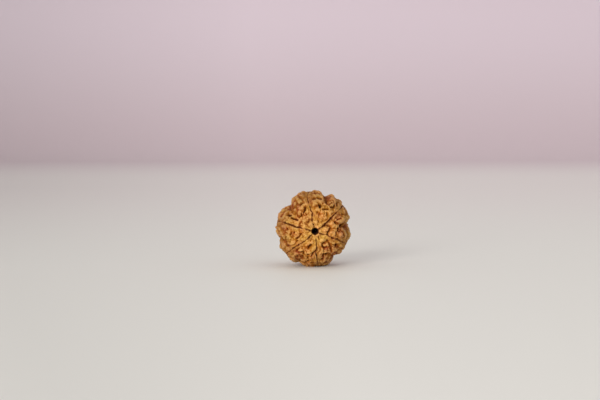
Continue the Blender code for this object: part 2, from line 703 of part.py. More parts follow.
def main():
    clear_scene()
    parts = new_collection("rudraksha seed")
    guides = new_collection("surface guides")
    draw = random.Random(DRAWN_SEED)
    seam_rows = seam_lines(draw)
    crease_rows = crease_lines(draw, seam_rows)
    seams = guide("seams", seam_rows, guides, "lift", "strength")
    valleys = guide("valleys", valley_lines(), guides, "depth", "reach")
    creases = guide("creases", crease_rows, guides, "depth", "reach")
    bumps = guide("bumps", bump_points(), guides, "depth", "reach")
    seed = turned_blank(parts)
    seed.data.materials.append(stone_material())
    surface = seed.modifiers.new("surface", "NODES")
    surface.node_group = surface_tree(seams, valleys, creases, bumps)
    fewer = seed.modifiers.new("fewer faces", "DECIMATE")
    fewer.ratio = KEPT_FACES
    seed.modifiers.new("rest", "NODES").node_group = rest_tree()
    for hidden in (seams, valleys, creases, bumps):
        hidden.parent = seed
    place_on_surface(seed)


main()
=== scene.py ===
"""Looks of a six-faced rudraksha seed: its finely knobbed stone, its woody finish and a studio stage.

The file is laid out as an add-on and run as a script. The stone is a turned blank with its thread hole.
Geometry nodes raise and sink its surface along guides: seams between smooth lips on the crests of the
lobes, valleys between the lobes, and knobs and pits over what lies between.
"""

import math
import random

import bpy
from bpy.props import FloatProperty, FloatVectorProperty, IntProperty, PointerProperty
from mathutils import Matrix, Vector


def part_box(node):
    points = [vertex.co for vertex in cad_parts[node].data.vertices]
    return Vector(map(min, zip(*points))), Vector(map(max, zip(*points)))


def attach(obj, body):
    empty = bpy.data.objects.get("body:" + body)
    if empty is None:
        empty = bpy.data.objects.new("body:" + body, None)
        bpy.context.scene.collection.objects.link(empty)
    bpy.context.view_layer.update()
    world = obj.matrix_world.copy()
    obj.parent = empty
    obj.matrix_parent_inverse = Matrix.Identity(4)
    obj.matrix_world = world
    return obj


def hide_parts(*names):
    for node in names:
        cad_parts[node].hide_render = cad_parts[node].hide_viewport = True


bl_info = {
    "name": "Rudraksha Seed",
    "version": (1, 0, 0),
    "blender": (4, 5, 0),
    "location": "3D View > Sidebar > Seed",
    "description": "Builds a knobbly woody seed bead and a studio stage for it",
    "category": "Object",
}

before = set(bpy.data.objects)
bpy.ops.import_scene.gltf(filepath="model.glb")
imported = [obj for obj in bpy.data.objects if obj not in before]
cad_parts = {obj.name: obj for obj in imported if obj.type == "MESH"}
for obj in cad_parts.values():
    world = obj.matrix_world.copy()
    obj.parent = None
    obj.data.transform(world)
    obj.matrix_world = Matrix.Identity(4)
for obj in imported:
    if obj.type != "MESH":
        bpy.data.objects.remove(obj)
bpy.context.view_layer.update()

MM = 0.001
STONE_NODE = "rudraksha_seed"
STONE_BODY = "root"

# Overall form
BLANK_RADIUS = 10.1 * MM
BLANK_HALF_LENGTH = 9.15 * MM
ROUNDNESS = 2.25
REST_HEIGHT = 10.4 * MM

# Thread hole
MOUTH_RADIUS = 0.95 * MM
WAIST_RADIUS = 0.62 * MM
BORE_FLARE = 8
RIM_RADIUS = 0.35 * MM

# Seams and their lips
LIP_FADE = 0.4 * MM
SEAM_FADE = 1.3
SEAM_SHADE = 2.0
LIP_EDGE_WIDTH = 0.24 * MM
SKIN_HEIGHT = 0.4 * MM

# Knobs: those near the mouth and on the front are lower
KNOB_RANDOMNESS = 0.9
KNOB_EDGE = 0.42
KNOB_POWER = 2.0
LOWEST_KNOB = 0.55
KNOB_RANGE = 0.9
JOINED_KNOBS = 0.75
MOUTH_FADE = (1.6 * MM, 5.0 * MM, 0.3)
FRONT_FADE = (-7.0 * MM, -3.5 * MM, 0.75)

# Lobes, creases and the uneven whole
LOBE_LIMITS = (0.35, 0.9)
VALLEY_POWER = 1.4
DISH_REACH = 2.3
DISH_SHARE = 0.35
SWELL_SPACING = 6.0 * MM
SWELL_HEIGHT = 0.35 * MM

# Each guide: its nearest part, the spacing of its bends, how far they reach, and what it stores
GUIDES = {
    "Seams": ("EDGES", 1.0 * MM, 0.16 * MM, "lift", "strength"),
    "Valleys": ("EDGES", 3.0 * MM, 0.4 * MM, "depth", "reach"),
    "Creases": ("POINTS", 0.8 * MM, 0.2 * MM, "depth", "reach"),
    "Bumps": ("POINTS", 1.2 * MM, 0.4 * MM, "depth", "reach"),
}

# How the patterns waver: spacing of their bends, and how far they reach
KNOB_STRAY = (2.4 * MM, 0.85 * MM)
WART_STRAY = (0.9 * MM, 0.3 * MM)
FOLD_STRAY = (2.0 * MM, 0.5 * MM)

# Patches of the surface: spacing, noise at their lower and upper edge, and what those edges give
SEAM_REACH_PATCHES = (0.9 * MM, 0.3, 0.7, 0.55, 1.25)
SEAM_DEPTH_PATCHES = (0.7 * MM, 0.35, 0.65, 0.45, 1.0)
LIP_WIDTH_PATCHES = (2.6 * MM, 0.35, 0.65, 0.6, 1.35)
LIP_EDGE_PATCHES = (1.7 * MM, 0.42, 0.6, 0.0, 0.26 * MM)
KNOBS_APART_PATCHES = (2.2 * MM, 0.38, 0.56, 0.15, 1.0)
WART_PATCHES = (1.9 * MM, 0.35, 0.6, 0.15, 1.0)
FOLD_PATCHES = (2.8 * MM, 0.4, 0.6, 0.07 * MM, 0.34 * MM)

# Warts and folds of the skin: share of the relief left on the lips, and their profiles
LIP_WARTS = 0.5
WART_RANDOMNESS = 0.95
WART_EDGE = 0.35
WART_POWER = 1.4
FOLD_SPACING = 1.5 * MM
FOLD_EDGE = 0.055
GRAIN_SPACING = 0.35 * MM
FINE_MEAN = 0.15 * MM

# Patterns of the skin's colour and pores
BLOTCH_SPACING = 3.2 * MM
HUE_SPACING = 2.6 * MM
HUE_SPREAD = 0.05
HUE_LEAN = 0.001
FRECKLE_SPACING = 0.5 * MM
PORE_SPACING = 0.16 * MM
PORE_DEPTH = 0.08 * MM
PORE_STRENGTH = 0.6

# Where each colour shows: the limits of the value that it follows, and its shares there
RED_PATCHES = ((0.4, 0.66), (0.0, 0.9))
PALE_FRECKLES = (0.35, 0.6)
PALE_MOUTH = (1.5 * MM, 5.0 * MM, 0.7, 0.0)
PALE_LIPS = 0.45
LEAST_PALE = 0.25
BASIN_SHARE = 0.8
FRECKLE_SHARE = 0.22
# Tops paler by wear, and a painted highlight on them
WORN_AND_HIGHLIT_TOPS = ((-0.2, 0.0), (0.66, 0.0))
# Painted shade in the creases and pits, which also makes them rougher as old dust would
DUST_AND_SHADE_IN_HOLLOWS = ((0.03, 0.34), (0.0, 0.62))
# Painted shade in a band beside the seams
SEAM_SIDES = ((0.1, 0.9), (0.0, 0.66))
# Darkest painted shade: deep in the seams, in the pits and inside the thread hole
DARK_PLACES = (
    ("crevice", (0.2, 0.9), (0.0, 0.5)),
    ("in_pit", (0.4, 1.1), (0.0, 0.6)),
    ("across", (MOUTH_RADIUS, MOUTH_RADIUS + 0.15 * MM), (1.0, 0.0)),
)
MOTTLE = (0.25, 0.75, 0.8, 1.14)
# Painted shade: the skin darker round the waist and a little lighter round the mouths
WAIST_SHADE = (4.5 * MM, 10.0 * MM, 1.04, 0.73)

# How much rougher wear, dust and dark places make the skin, and the gloss of dry wood
WORN_ROUGHNESS = -0.28
DUST_ROUGHNESS = 0.3
DARK_ROUGHNESS = 0.5
WOOD_IOR = 1.47
WOOD_SPECULAR = 0.25

# How the front is seen: sideways and upwards slope of the line of sight
SIDE_SLOPE = 0.0436
RISE_SLOPE = 0.0871
FARTHEST_SHARE = 0.985
SIGHT_STEPS = 6

# Each seam on the front, as seen: angle round the mouth, distance from its middle, and strength
SEAMS = (
    (
        (33, 0.9, 0.9), (34, 2.0, 1.2), (35, 3.2, 1.5), (38, 4.0, 1.2), (39, 5.0, 1.3),
        (41, 6.3, 1.2), (41.5, 7.3, 0.9), (42, 8.2, 0.5), (42, 9.2, 0.8), (43, 9.8, 1.2),
    ),
    (
        (104, 0.9, 0.6), (104.5, 2.1, 1.0), (105, 2.6, 0.4), (105, 3.15, 1.3), (101.5, 4.0, 0.9),
        (98.5, 5.0, 1.1), (101.5, 5.7, 0.9), (102, 6.7, 1.1), (102.5, 7.4, 0.4), (103, 8.3, 1.0),
        (103, 9.8, 0.7),
    ),
    (
        (169.5, 0.9, 1.1), (169, 1.6, 1.3), (166, 2.6, 1.3), (166.5, 3.2, 0.5), (166.5, 3.7, 1.0),
        (164.5, 4.3, 1.2), (167, 5.1, 1.2), (165.5, 6.0, 1.1), (165, 6.7, 1.2), (164, 7.6, 1.1),
        (164, 8.4, 1.3), (163.5, 9.8, 0.4),
    ),
    (
        (226, 0.9, 0.7), (225, 2.1, 1.2), (225, 2.7, 1.5), (223.5, 3.4, 0.6), (222.5, 4.1, 1.0),
        (221, 4.7, 0.8), (219, 5.7, 1.1), (217.5, 6.5, 0.8), (217, 7.4, 1.3), (218, 8.0, 0.4),
        (218, 8.6, 0.8), (216, 9.8, 0.7),
    ),
    (
        (275, 0.9, 0.2), (275.5, 1.9, 0.4), (276, 2.5, 1.1), (276, 3.0, 1.1), (275.5, 3.8, 0.9),
        (275, 4.9, 1.2), (271, 5.6, 0.9), (272.5, 6.4, 1.1), (274, 7.3, 0.9), (275, 8.8, 0.6),
        (275, 9.8, 0.8),
    ),
    (
        (335, 0.9, 0.9), (338.5, 2.4, 1.3), (343, 2.9, 0.6), (345, 3.3, 1.2), (341, 4.0, 0.8),
        (338, 5.1, 1.2), (339, 5.8, 0.7), (340, 6.6, 1.2), (338.5, 7.6, 0.9), (338, 9.8, 0.6),
    ),
)
SIDE_SEAM_STRENGTHS = (0.4, 1.15)
SIDE_SEAM_STEPS = 16
SIDE_WANDER = ((4, 2.3, 1), (2, 6, 2))

# How much each seam's lobe stands out at the waist, beyond the turned blank
LOBE_LIFTS = (0.1, 0.0, -0.1, 0.1, 0.1, -0.4)

# Each valley's angle round the mouth, its depth and its reach to either side, at the waist of the seed
VALLEYS = (
    (9, 2.2, 2.6),
    (72, 1.5, 1.7),
    (135, 2.0, 3.4),
    (196, 1.0, 2.4),
    (250, 0.9, 2.2),
    (306, 1.3, 2.4),
)
VALLEY_START = 28.0
VALLEY_FULL = 68.0
VALLEY_WANDER = (4, 4, 1.7)

# Share of its width that a valley or a drawn crease keeps where it fades out
NARROWEST = 0.5

# Creases and pits on the front: depth, reach, and the angle round the mouth and distance of each point
FRONT_CREASES = (
    (0.9, 0.4, ((91, 9.1),)),
    (1.0, 0.48, ((84.5, 9.3), (80, 9.2))),
    (1.1, 0.58, ((79.5, 7.4), (78.5, 6.9))),
    (0.4, 0.3, ((85, 6.9),)),
    (0.5, 0.3, ((75.5, 7.9),)),
    (0.7, 0.36, ((70, 6.3), (64, 6.6), (61, 6.8))),
    (1.0, 0.42, ((60, 6.9),)),
    (0.6, 0.3, ((58, 5.9), (55, 5.5))),
    (0.6, 0.34, ((83, 5.3),)),
    (0.8, 0.4, ((57, 7.8), (53, 8.2), (54, 8.8))),
    (0.8, 0.36, ((54, 9.8), (51, 9.4), (49.5, 9.1))),
    (0.4, 0.36, ((75, 4.9),)),
    (0.3, 0.4, ((58, 3.5),)),
    (1.2, 0.46, ((24.8, 5.95),)),
    (0.4, 0.26, ((28, 6.7), (27, 7.4))),
    (0.6, 0.3, ((26.8, 7.6),)),
    (0.3, 0.3, ((34, 7.9),)),
    (1.1, 0.46, ((12, 7.2), (12.6, 7.8), (14, 8.5))),
    (0.6, 0.34, ((5.5, 8.6),)),
    (1.0, 0.42, ((8, 6.7), (3, 6.4))),
    (0.5, 0.3, ((2, 6.2), (-3, 5.8), (-8, 5.7))),
    (0.75, 0.32, ((-13, 3.4), (-4, 3.5), (1, 3.7), (8, 3.9), (14, 4.15))),
    (0.6, 0.3, ((14, 4.15), (20, 4.1), (26, 3.7), (30, 3.1))),
    (0.4, 0.36, ((31, 2.5), (29, 3.0), (27, 3.5))),
    (0.35, 0.22, ((147, 1.6), (144, 2.2), (140, 2.9), (139, 3.3))),
    (0.35, 0.24, ((192, 1.9), (189, 2.5))),
    (0.3, 0.22, ((248, 1.6), (243, 2.2), (245, 2.8))),
    (0.35, 0.24, ((300, 1.7), (298, 2.4))),
    (0.3, 0.22, ((68, 2.0), (72, 2.8), (70, 3.5))),
    (0.9, 0.42, ((-7.5, 8.1), (-10, 8.3))),
    (0.7, 0.3, ((309, 4.2), (303, 3.9), (298, 4.1), (296, 4.6), (297.5, 5.2), (301, 5.4), (306, 5.3))),
    (1.0, 0.44, ((286.5, 6.9), (290, 6.75), (293, 6.9), (296, 7.3))),
    (0.6, 0.32, ((290, 6.8), (288, 7.4))),
    (0.7, 0.42, ((284, 7.8),)),
    (0.9, 0.75, ((326, 7.2),)),
    (0.5, 0.42, ((322, 4.2), (319.5, 5.0), (317, 5.8), (313, 6.6), (309, 7.4))),
    (0.6, 0.5, ((314, 8.1),)),
    (0.8, 0.54, ((252, 3.9), (250.5, 4.5), (248, 5.0))),
    (0.3, 0.4, ((238, 4.9),)),
    (0.8, 0.42, ((253, 6.7),)),
    (0.5, 0.3, ((254, 7.2), (255, 7.6))),
    (0.8, 0.44, ((256.5, 8.2),)),
    (0.6, 0.36, ((233, 7.0), (237, 6.7), (241, 6.5), (243, 7.0))),
    (0.8, 0.44, ((243, 7.6),)),
    (0.7, 0.36, ((234.7, 8.3),)),
    (0.65, 0.3, ((271, 5.3), (266, 5.8), (263, 6.3), (262, 6.8))),
    (0.3, 0.26, ((226, 6.2), (226, 7.4))),
    (0.85, 0.4, ((174.5, 7.7),)),
    (0.9, 0.4, ((187, 6.75),)),
    (0.5, 0.3, ((182.5, 6.4), (185, 6.6))),
    (0.4, 0.28, ((190, 6.7), (194, 6.5))),
    (0.65, 0.34, ((184, 5.7),)),
    (0.7, 0.36, ((190, 4.0), (197, 4.35), (200, 4.9), (201, 5.4))),
    (0.5, 0.3, ((203, 5.6), (207, 5.6))),
    (0.85, 0.38, ((191, 8.2), (194, 8.4))),
    (0.5, 0.34, ((196, 8.5), (200, 8.7), (204, 8.8))),
    (0.85, 0.38, ((206, 8.7), (208, 8.3))),
    (1.0, 0.44, ((118, 8.4),)),
    (0.5, 0.3, ((120, 8.6), (122, 8.9))),
    (0.8, 0.4, ((123.5, 9.15),)),
    (0.9, 0.36, ((120.5, 6.2), (117, 6.4), (113.5, 6.9), (112, 7.3))),
    (0.6, 0.3, ((117, 5.3),)),
    (0.7, 0.3, ((129, 6.0), (132, 5.8), (138, 5.85))),
    (1.0, 0.48, ((148.5, 9.5), (149, 8.8), (147.5, 8.3))),
    (0.9, 0.38, ((150, 7.8), (150.5, 7.0), (148, 6.4), (147, 5.7))),
    (0.5, 0.36, ((155, 9.2),)),
    (0.3, 0.3, ((156, 6.4),)),
    (0.4, 0.28, ((143, 4.6), (149, 4.7), (156, 4.6), (160, 4.5))),
    (0.4, 0.26, ((108, 3.3), (112, 3.5), (118, 3.4), (125, 3.1), (132, 3.3), (139, 3.3))),
    (0.5, 0.42, ((132.5, 9.4),)),
    (0.4, 0.32, ((113.5, 9.8),)),
)

# Knobs and plates that stand out on the front: height, reach, angle round the mouth and distance
FRONT_BUMPS = (
    (0.35, 0.9, 66.5, 7.7), (0.3, 0.7, 56, 7.1), (0.25, 0.5, 66, 4.6),
    (0.55, 1.1, 14, 2.6), (0.4, 0.5, -3, 4.4), (0.3, 0.7, -13, 5.2),
    (0.3, 0.9, -7.5, 6.8), (0.25, 0.4, 336, 5.5), (0.3, 0.6, 334, 7.2),
    (0.25, 0.4, 304.5, 4.7), (0.45, 0.9, 311, 3.1), (0.3, 0.5, 249.5, 7.6),
    (0.3, 0.6, 243, 5.6), (0.35, 0.8, 231.5, 6), (0.3, 1.1, 205, 6.9),
    (0.25, 0.4, 195.5, 5.4), (0.25, 0.4, 192, 7.4), (0.5, 0.9, 123, 2.3),
    (0.35, 0.6, 154, 3.2), (0.35, 0.6, 257, 2), (0.3, 0.8, 198, 2.8),
    (0.35, 0.8, 82, 2.6), (0.3, 0.6, 52, 2.4), (0.35, 0.9, 134.5, 4.3),
    (0.25, 0.5, 121.5, 7.5), (0.25, 0.5, 145, 7.4), (0.25, 0.5, 133, 7.8),
    (0.25, 0.8, 141.5, 9.4),
)

# Creases drawn over the sides and the back
DRAWN_LIMITS = (68.0, 167.0)
DRAWN_TRIES = 1500
DRAWN_SPACING = 1.75
DRAWN_REACHES = (0.3, 0.6)
DRAWN_DEPTHS = (0.5, 1.1)
DRAWN_LENGTHS = (0.0, 2.2)
DRAWN_STEP = 0.45
DRAWN_TURN = 0.7
DRAWN_FADE = (0.6, 1.0)
DRAWN_GAP = 0.6
SEAM_STRIDE = 6
CREASE_STRIDE = 3
DRAWN_SEED = 6

# Mesh
TURN_STEPS = 720
PROFILE_POINTS = 290
BORE_POINTS = 16
RIM_POINTS = 5
MOST_TRIANGLES = 198000
GUIDE_POINTS = 90
GUIDE_SPACING = 0.15 * MM
KNOB_BLUR = 12
EDGE_BLUR = 2
NEAR_BLUR = 32
WIDE_BLUR = 160

# Floor and backdrop: their sizes, where each colour passes into the next, and the shade on their left
FLOOR_HALF_WIDTH = 1.6
FLOOR_FRONT = -1.2
BEND_START = 0.62
BEND_RADIUS = 0.12
BEND_STEPS = 16
BACKDROP_HEIGHT = 1.1
FAR_LIMITS = (0.0, 0.35)
BACK_LIMITS = (0.42, 0.71)
HEIGHT_LIMITS = (0.0, 0.11)
SHADE_SPREAD = 2.1
SHADE_LIMITS = (-0.085, -0.005)
FRONT_SHADE = 0.88
LEFT_SHADE = 0.76
BOARD_ROUGHNESS = 0.6

# Key light
KEY_PLACE = (-0.68, -1.15, 0.42)
KEY_SIZE = 0.6
KEY_COLOUR = (1.0, 0.97, 0.93)
FILL_COLOUR = "FFFCFA"

# View: the middle of the seed lands at this place of a frame of this size
FRAME_WIDTH = 600
SEED_AT = (313.0, 228.5)
FRAME_MIDDLE = (300.0, 200.0)
SENSOR_WIDTH = 36.0

# What the relief stores on the stone for its material
STORED = ("hollow", "basin", "crevice", "shade", "past_lips", "in_pit", "across")

# Inputs and setting of a node that eases one range of values into another
RANGE = ("Value", "From Min", "From Max", "To Min", "To Max")
EASED = {"interpolation_type": "SMOOTHSTEP"}


def hex_colour(code):
    """An sRGB hex value as linear red, green and blue."""
    shares = [int(code[i : i + 2], 16) / 255 for i in (0, 2, 4)]
    return tuple(s / 12.92 if s <= 0.04045 else ((s + 0.055) / 1.055) ** 2.4 for s in shares)


def number(name, description, default, **more):
    """A property that holds a number."""
    return FloatProperty(name=name, description=description, default=default, **more)


def length(name, description, default):
    """A property that holds a length."""
    return number(name, description, default, subtype="DISTANCE", unit="LENGTH")


def angle(name, description, degrees):
    """A property that holds an angle."""
    return number(name, description, math.radians(degrees), subtype="ANGLE", unit="ROTATION")


def tint(name, description, code):
    """A property that holds a colour."""
    return FloatVectorProperty(
        name=name, description=description, default=hex_colour(code), subtype="COLOR"
    )


class StoneForm(bpy.types.PropertyGroup):
    """Sizes of the stone's relief."""

    seam_depth: length("Seam Depth", "Depth of the six seams", 0.5 * MM)
    seam_reach: length("Seam Reach", "Half the width of a seam", 0.27 * MM)
    lip_width: length("Lip Width", "Width of the smooth lip on each side of a seam", 0.85 * MM)
    knob_spacing: length("Knob Spacing", "Distance between neighbouring knobs", 2.1 * MM)
    knob_height: length("Knob Height", "Height of the tallest knobs", 0.88 * MM)
    wart_spacing: length("Wart Spacing", "Distance between the small warts on the knobs", 0.8 * MM)
    wart_height: length("Wart Height", "Depth of the creases between the small warts", 0.28 * MM)
    grain_height: length("Grain Height", "Height of the finest wrinkles of the skin", 0.07 * MM)
    pattern: IntProperty(
        name="Pattern",
        description="Picks another pattern of knobs, with the seams and pits in the same places",
        default=0,
        min=0,
    )


class StoneFinish(bpy.types.PropertyGroup):
    """Colours and gloss of the stone."""

    wood: tint("Wood", "Colour of the dry woody stone", "B47011")
    deep: tint("Deep Wood", "Colour of the redder patches", "9B480F")
    # Colour of the worn tops, which is also their painted highlight
    worn: tint("Worn Tops", "Colour of the worn tops of the knobs and lips", "ECB468")
    lip: tint("Lips", "Colour of the lips along the seams and round the mouths", "CE9A46")
    # Colour of the painted shade in the creases, the pits and beside the seams
    hollow: tint("Hollows", "Colour of the creases and pits", "6E2B02")
    # Colour of the darkest painted shade, deep in the seams, the pits and the thread hole
    crevice: tint("Crevices", "Colour deep in the seams and in the thread hole", "3C1803")
    roughness: number("Roughness", "Roughness between worn tops and hollows", 0.6, min=0.0, max=1.0)


class StageSettings(bpy.types.PropertyGroup):
    """Floor, backdrop, lights and camera."""

    floor: tint("Floor", "Colour of the floor round the seed", "ECEDE7")
    far_floor: tint("Far Floor", "Colour of the floor far behind the seed", "ECE9E5")
    # Its darker colour is painted shade at the foot of the backdrop
    low_backdrop: tint("Low Backdrop", "Colour of the backdrop just above the floor", "D7C7CD")
    backdrop: tint("Backdrop", "Colour of the backdrop at the top of the picture", "E3D5DF")
    key_power: number("Key Light", "Power of the large soft light on the left", 11.0, unit="POWER")
    fill_strength: number("Fill Light", "Strength of the light from all round", 0.66, min=0.0)
    azimuth: angle("Camera Azimuth", "Turn of the camera from straight before the mouth", -2.5)
    elevation: angle("Camera Elevation", "Height of the camera above the level of the thread hole", 5.0)
    distance: length("Camera Distance", "Distance from the camera to the middle of the seed", 0.467)
    lens: number("Lens", "Focal length in millimetres", 100.0)


def node(tree, kind, inputs=None, out=0, **settings):
    """Adds a node with its settings, plugs or fills its named inputs, and gives back one output."""
    made = tree.nodes.new(kind)
    for name, value in settings.items():
        setattr(made, name, value)
    for name, value in (inputs or {}).items():
        if isinstance(value, bpy.types.NodeSocket):
            tree.links.new(value, made.inputs[name])
        else:
            made.inputs[name].default_value = value
    return made.outputs[out]


def linked(name, data):
    """A new object that is linked to the scene."""
    made = bpy.data.objects.new(name, data)
    bpy.context.scene.collection.objects.link(made)
    return made


def plain_material(name):
    """A new material, its node tree and its shader."""
    material = bpy.data.materials.new(name)
    material.use_nodes = True
    return material, material.node_tree, material.node_tree.nodes["Principled BSDF"]


def on_blank(around, out):
    """The point of the smooth blank at an angle round the axis and an angle out from the front pole."""
    across = math.sin(out)
    along = -math.cos(out)
    radius = (
        abs(across / BLANK_RADIUS) ** ROUNDNESS + abs(along / BLANK_HALF_LENGTH) ** ROUNDNESS
    ) ** (-1 / ROUNDNESS)
    across *= radius
    return Vector((across * math.cos(around), radius * along, across * math.sin(around)))


def blank_profile():
    """The closed outline that is turned: the outer side to the back, then the bore to the front."""
    first_out = math.atan((MOUTH_RADIUS + RIM_RADIUS) / BLANK_HALF_LENGTH)
    outs = [
        first_out + (math.pi - 2 * first_out) * i / (PROFILE_POINTS - 1)
        for i in range(PROFILE_POINTS)
    ]
    outer = [on_blank(0, out) for out in outs]
    face = abs(outer[0].y)
    back_rim = []
    for i in range(1, RIM_POINTS + 1):
        turn = math.pi / 2 * i / RIM_POINTS
        across = MOUTH_RADIUS + RIM_RADIUS * (1 - math.sin(turn))
        back_rim.append(Vector((across, face - RIM_RADIUS * (1 - math.cos(turn)), 0)))
    bore = []
    for i in range(1, BORE_POINTS):
        share = math.cos(math.pi * i / BORE_POINTS)
        radius = WAIST_RADIUS + (MOUTH_RADIUS - WAIST_RADIUS) * share**BORE_FLARE
        bore.append(Vector((radius, (face - RIM_RADIUS) * share, 0)))
    front_rim = [Vector((p.x, -p.y, 0)) for p in reversed(back_rim)]
    return outer + back_rim + bore + front_rim


def turned_blank():
    """The blank with its bore, turned round the Y axis by a Screw modifier."""
    points = blank_profile()
    edges = [(i, (i + 1) % len(points)) for i in range(len(points))]
    mesh = bpy.data.meshes.new("blank")
    mesh.from_pydata(points, edges, [])
    blank = linked("blank", mesh)
    screw = blank.modifiers.new("turn", "SCREW")
    screw.axis = "Y"
    screw.angle = 2 * math.pi
    screw.steps = TURN_STEPS
    screw.render_steps = TURN_STEPS
    screw.use_merge_vertices = True
    screw.merge_threshold = 0.001 * MM
    screw.use_normal_calculate = True
    return blank


def seen_on_front(around, distance):
    """The point of the blank's front that is seen at an angle and a distance, in mm, from the mouth."""
    seen_x = distance * MM * math.cos(math.radians(around))
    seen_z = distance * MM * math.sin(math.radians(around))
    x, z, along = seen_x, seen_z, BLANK_HALF_LENGTH
    for _ in range(SIGHT_STEPS):
        share = min(math.hypot(x, z) / BLANK_RADIUS, FARTHEST_SHARE)
        along = BLANK_HALF_LENGTH * (1 - share**ROUNDNESS) ** (1 / ROUNDNESS)
        drop = BLANK_HALF_LENGTH - along
        x = seen_x + SIDE_SLOPE * drop
        z = seen_z - RISE_SLOPE * drop
    return Vector((x, -along, z))


def angles_of(place):
    """The angle round the axis and the angle out from the front pole of a point."""
    return math.atan2(place.z, place.x), math.atan2(math.hypot(place.x, place.z), -place.y)


def filled_in(rows):
    """Rows of a place and its values, with more rows between them at the guides' spacing."""
    line = [rows[0]]
    for before, after in zip(rows, rows[1:]):
        steps = max(1, math.ceil((after[0] - before[0]).length / GUIDE_SPACING))
        for i in range(1, steps + 1):
            share = i / steps
            row = [b + (a - b) * share for b, a in zip(before, after)]
            line.append((on_blank(*angles_of(row[0])), *row[1:]))
    return line


def guide(name, lines):
    """A mesh of lines of points, with the values of each row stored at its point."""
    points = [row[0] for line in lines for row in line]
    edges = []
    start = 0
    for line in lines:
        edges += [(start + i, start + i + 1) for i in range(len(line) - 1)]
        start += len(line)
    mesh = bpy.data.meshes.new(name)
    mesh.from_pydata(points, edges, [])
    for column, attribute in enumerate(GUIDES[name][3:], 1):
        values = [row[column] for line in lines for row in line]
        mesh.attributes.new(attribute, "FLOAT", "POINT").data.foreach_set("value", values)
    return linked(name, mesh)


def ease(value, low, high):
    """0 below low, 1 above high, and a smooth rise between."""
    share = min(max((value - low) / (high - low), 0.0), 1.0)
    return share * share * (3 - 2 * share)


def seam_lines(draw):
    """The six seams from mouth to mouth, with the lobe's lift and the seam's strength at each point."""
    lines = []
    for number, seam in enumerate(SEAMS):
        rows = [(seen_on_front(around, distance), strength) for around, distance, strength in seam]
        around, out = angles_of(rows[-1][0])

        def wander(at):
            waves = (size * math.sin(rate * at + shift * number) for size, rate, shift in SIDE_WANDER)
            return sum(waves)

        for i in range(1, SIDE_SEAM_STEPS + 1):
            at = out + (math.pi - out) * i / SIDE_SEAM_STEPS
            turned = around + math.radians(wander(at) - wander(out))
            rows.append((on_blank(turned, at), draw.uniform(*SIDE_SEAM_STRENGTHS)))
        line = []
        for place, strength in filled_in(rows):
            lift = LOBE_LIFTS[number] * MM * ease(math.sin(angles_of(place)[1]), *LOBE_LIMITS)
            line.append((place, lift, strength))
        lines.append(line)
    return lines


def valley_lines():
    """The six valleys between the lobes, deep at the waist and fading towards both mouths."""
    size, rate, shift = VALLEY_WANDER
    lines = []
    for number, (around, depth, reach) in enumerate(VALLEYS):
        line = []
        for i in range(GUIDE_POINTS + 1):
            out = 180 * i / GUIDE_POINTS
            nearer_mouth = min(out, 180 - out)
            fade = ease(nearer_mouth, VALLEY_START, VALLEY_FULL)
            wander = size * math.sin(math.radians(rate * out) + shift * number)
            wander -= size * math.sin(shift * number)
            place = on_blank(math.radians(around + wander), math.radians(out))
            line.append((place, depth * MM * fade, reach * MM * (NARROWEST + (1 - NARROWEST) * fade)))
        lines.append(line)
    return lines


def drawn_crease(draw, around, out):
    """A crease that wanders over the blank from a point, with its depth and reach."""
    depth = draw.uniform(*DRAWN_DEPTHS) * MM
    reach = draw.uniform(*DRAWN_REACHES) * MM
    run = draw.uniform(*DRAWN_LENGTHS)
    heading = draw.uniform(0, 2 * math.pi)
    place = on_blank(around, out)
    rows = [(place, depth, reach)]
    for _ in range(int(run / DRAWN_STEP)):
        heading += draw.uniform(-DRAWN_TURN, DRAWN_TURN)
        around, out = angles_of(place)
        side = Vector((-math.sin(around), 0, math.cos(around)))
        onwards = side.cross(place.normalized())
        place = place + (side * math.cos(heading) + onwards * math.sin(heading)) * DRAWN_STEP * MM
        place = on_blank(*angles_of(place))
        share = draw.uniform(*DRAWN_FADE)
        rows.append((place, depth * share, reach * (NARROWEST + (1 - NARROWEST) * share)))
    return rows


def crease_lines(draw, seams, lip_width):
    """The creases and pits seen on the front, and others drawn over the rest, clear of the seams."""
    lines = [
        filled_in([(seen_on_front(*at), depth * MM, reach * MM) for at in points])
        for depth, reach, points in FRONT_CREASES
    ]
    on_seams = [row[0] for line in seams for row in line[::SEAM_STRIDE]]
    taken = [row[0] for line in lines for row in line[::CREASE_STRIDE]]
    for _ in range(DRAWN_TRIES):
        around = draw.uniform(0, 2 * math.pi)
        out = math.acos(-draw.uniform(-1, 1))
        rows = drawn_crease(draw, around, out)
        if not DRAWN_LIMITS[0] < math.degrees(out) < DRAWN_LIMITS[1]:
            continue
        reach = rows[0][2]
        if any((row[0] - p).length < lip_width + reach for row in rows for p in on_seams):
            continue
        if any((row[0] - p).length < DRAWN_SPACING * MM for row in rows[:1] for p in taken):
            continue
        if any((row[0] - p).length < DRAWN_SPACING * MM * DRAWN_GAP for row in rows for p in taken):
            continue
        taken += [row[0] for row in rows]
        lines.append(filled_in(rows))
    return lines


def bump_points():
    """The knobs and plates that stand out on the front."""
    return [
        [(seen_on_front(around, distance), height * MM, reach * MM)]
        for height, reach, around, distance in FRONT_BUMPS
    ]


def stray(tree, place, pattern, spacing, distance):
    """The place, moved by up to about a distance in a direction that the pattern changes smoothly."""
    inputs = {"Vector": pattern, "Scale": 1 / spacing, "Detail": 1.0}
    colour = node(tree, "ShaderNodeTexNoise", inputs, "Color")
    centred = node(tree, "ShaderNodeVectorMath", {0: colour, 1: (0.5,) * 3}, operation="SUBTRACT")
    inputs = {0: centred, 1: (2 * distance,) * 3, 2: place}
    return node(tree, "ShaderNodeVectorMath", inputs, operation="MULTIPLY_ADD")


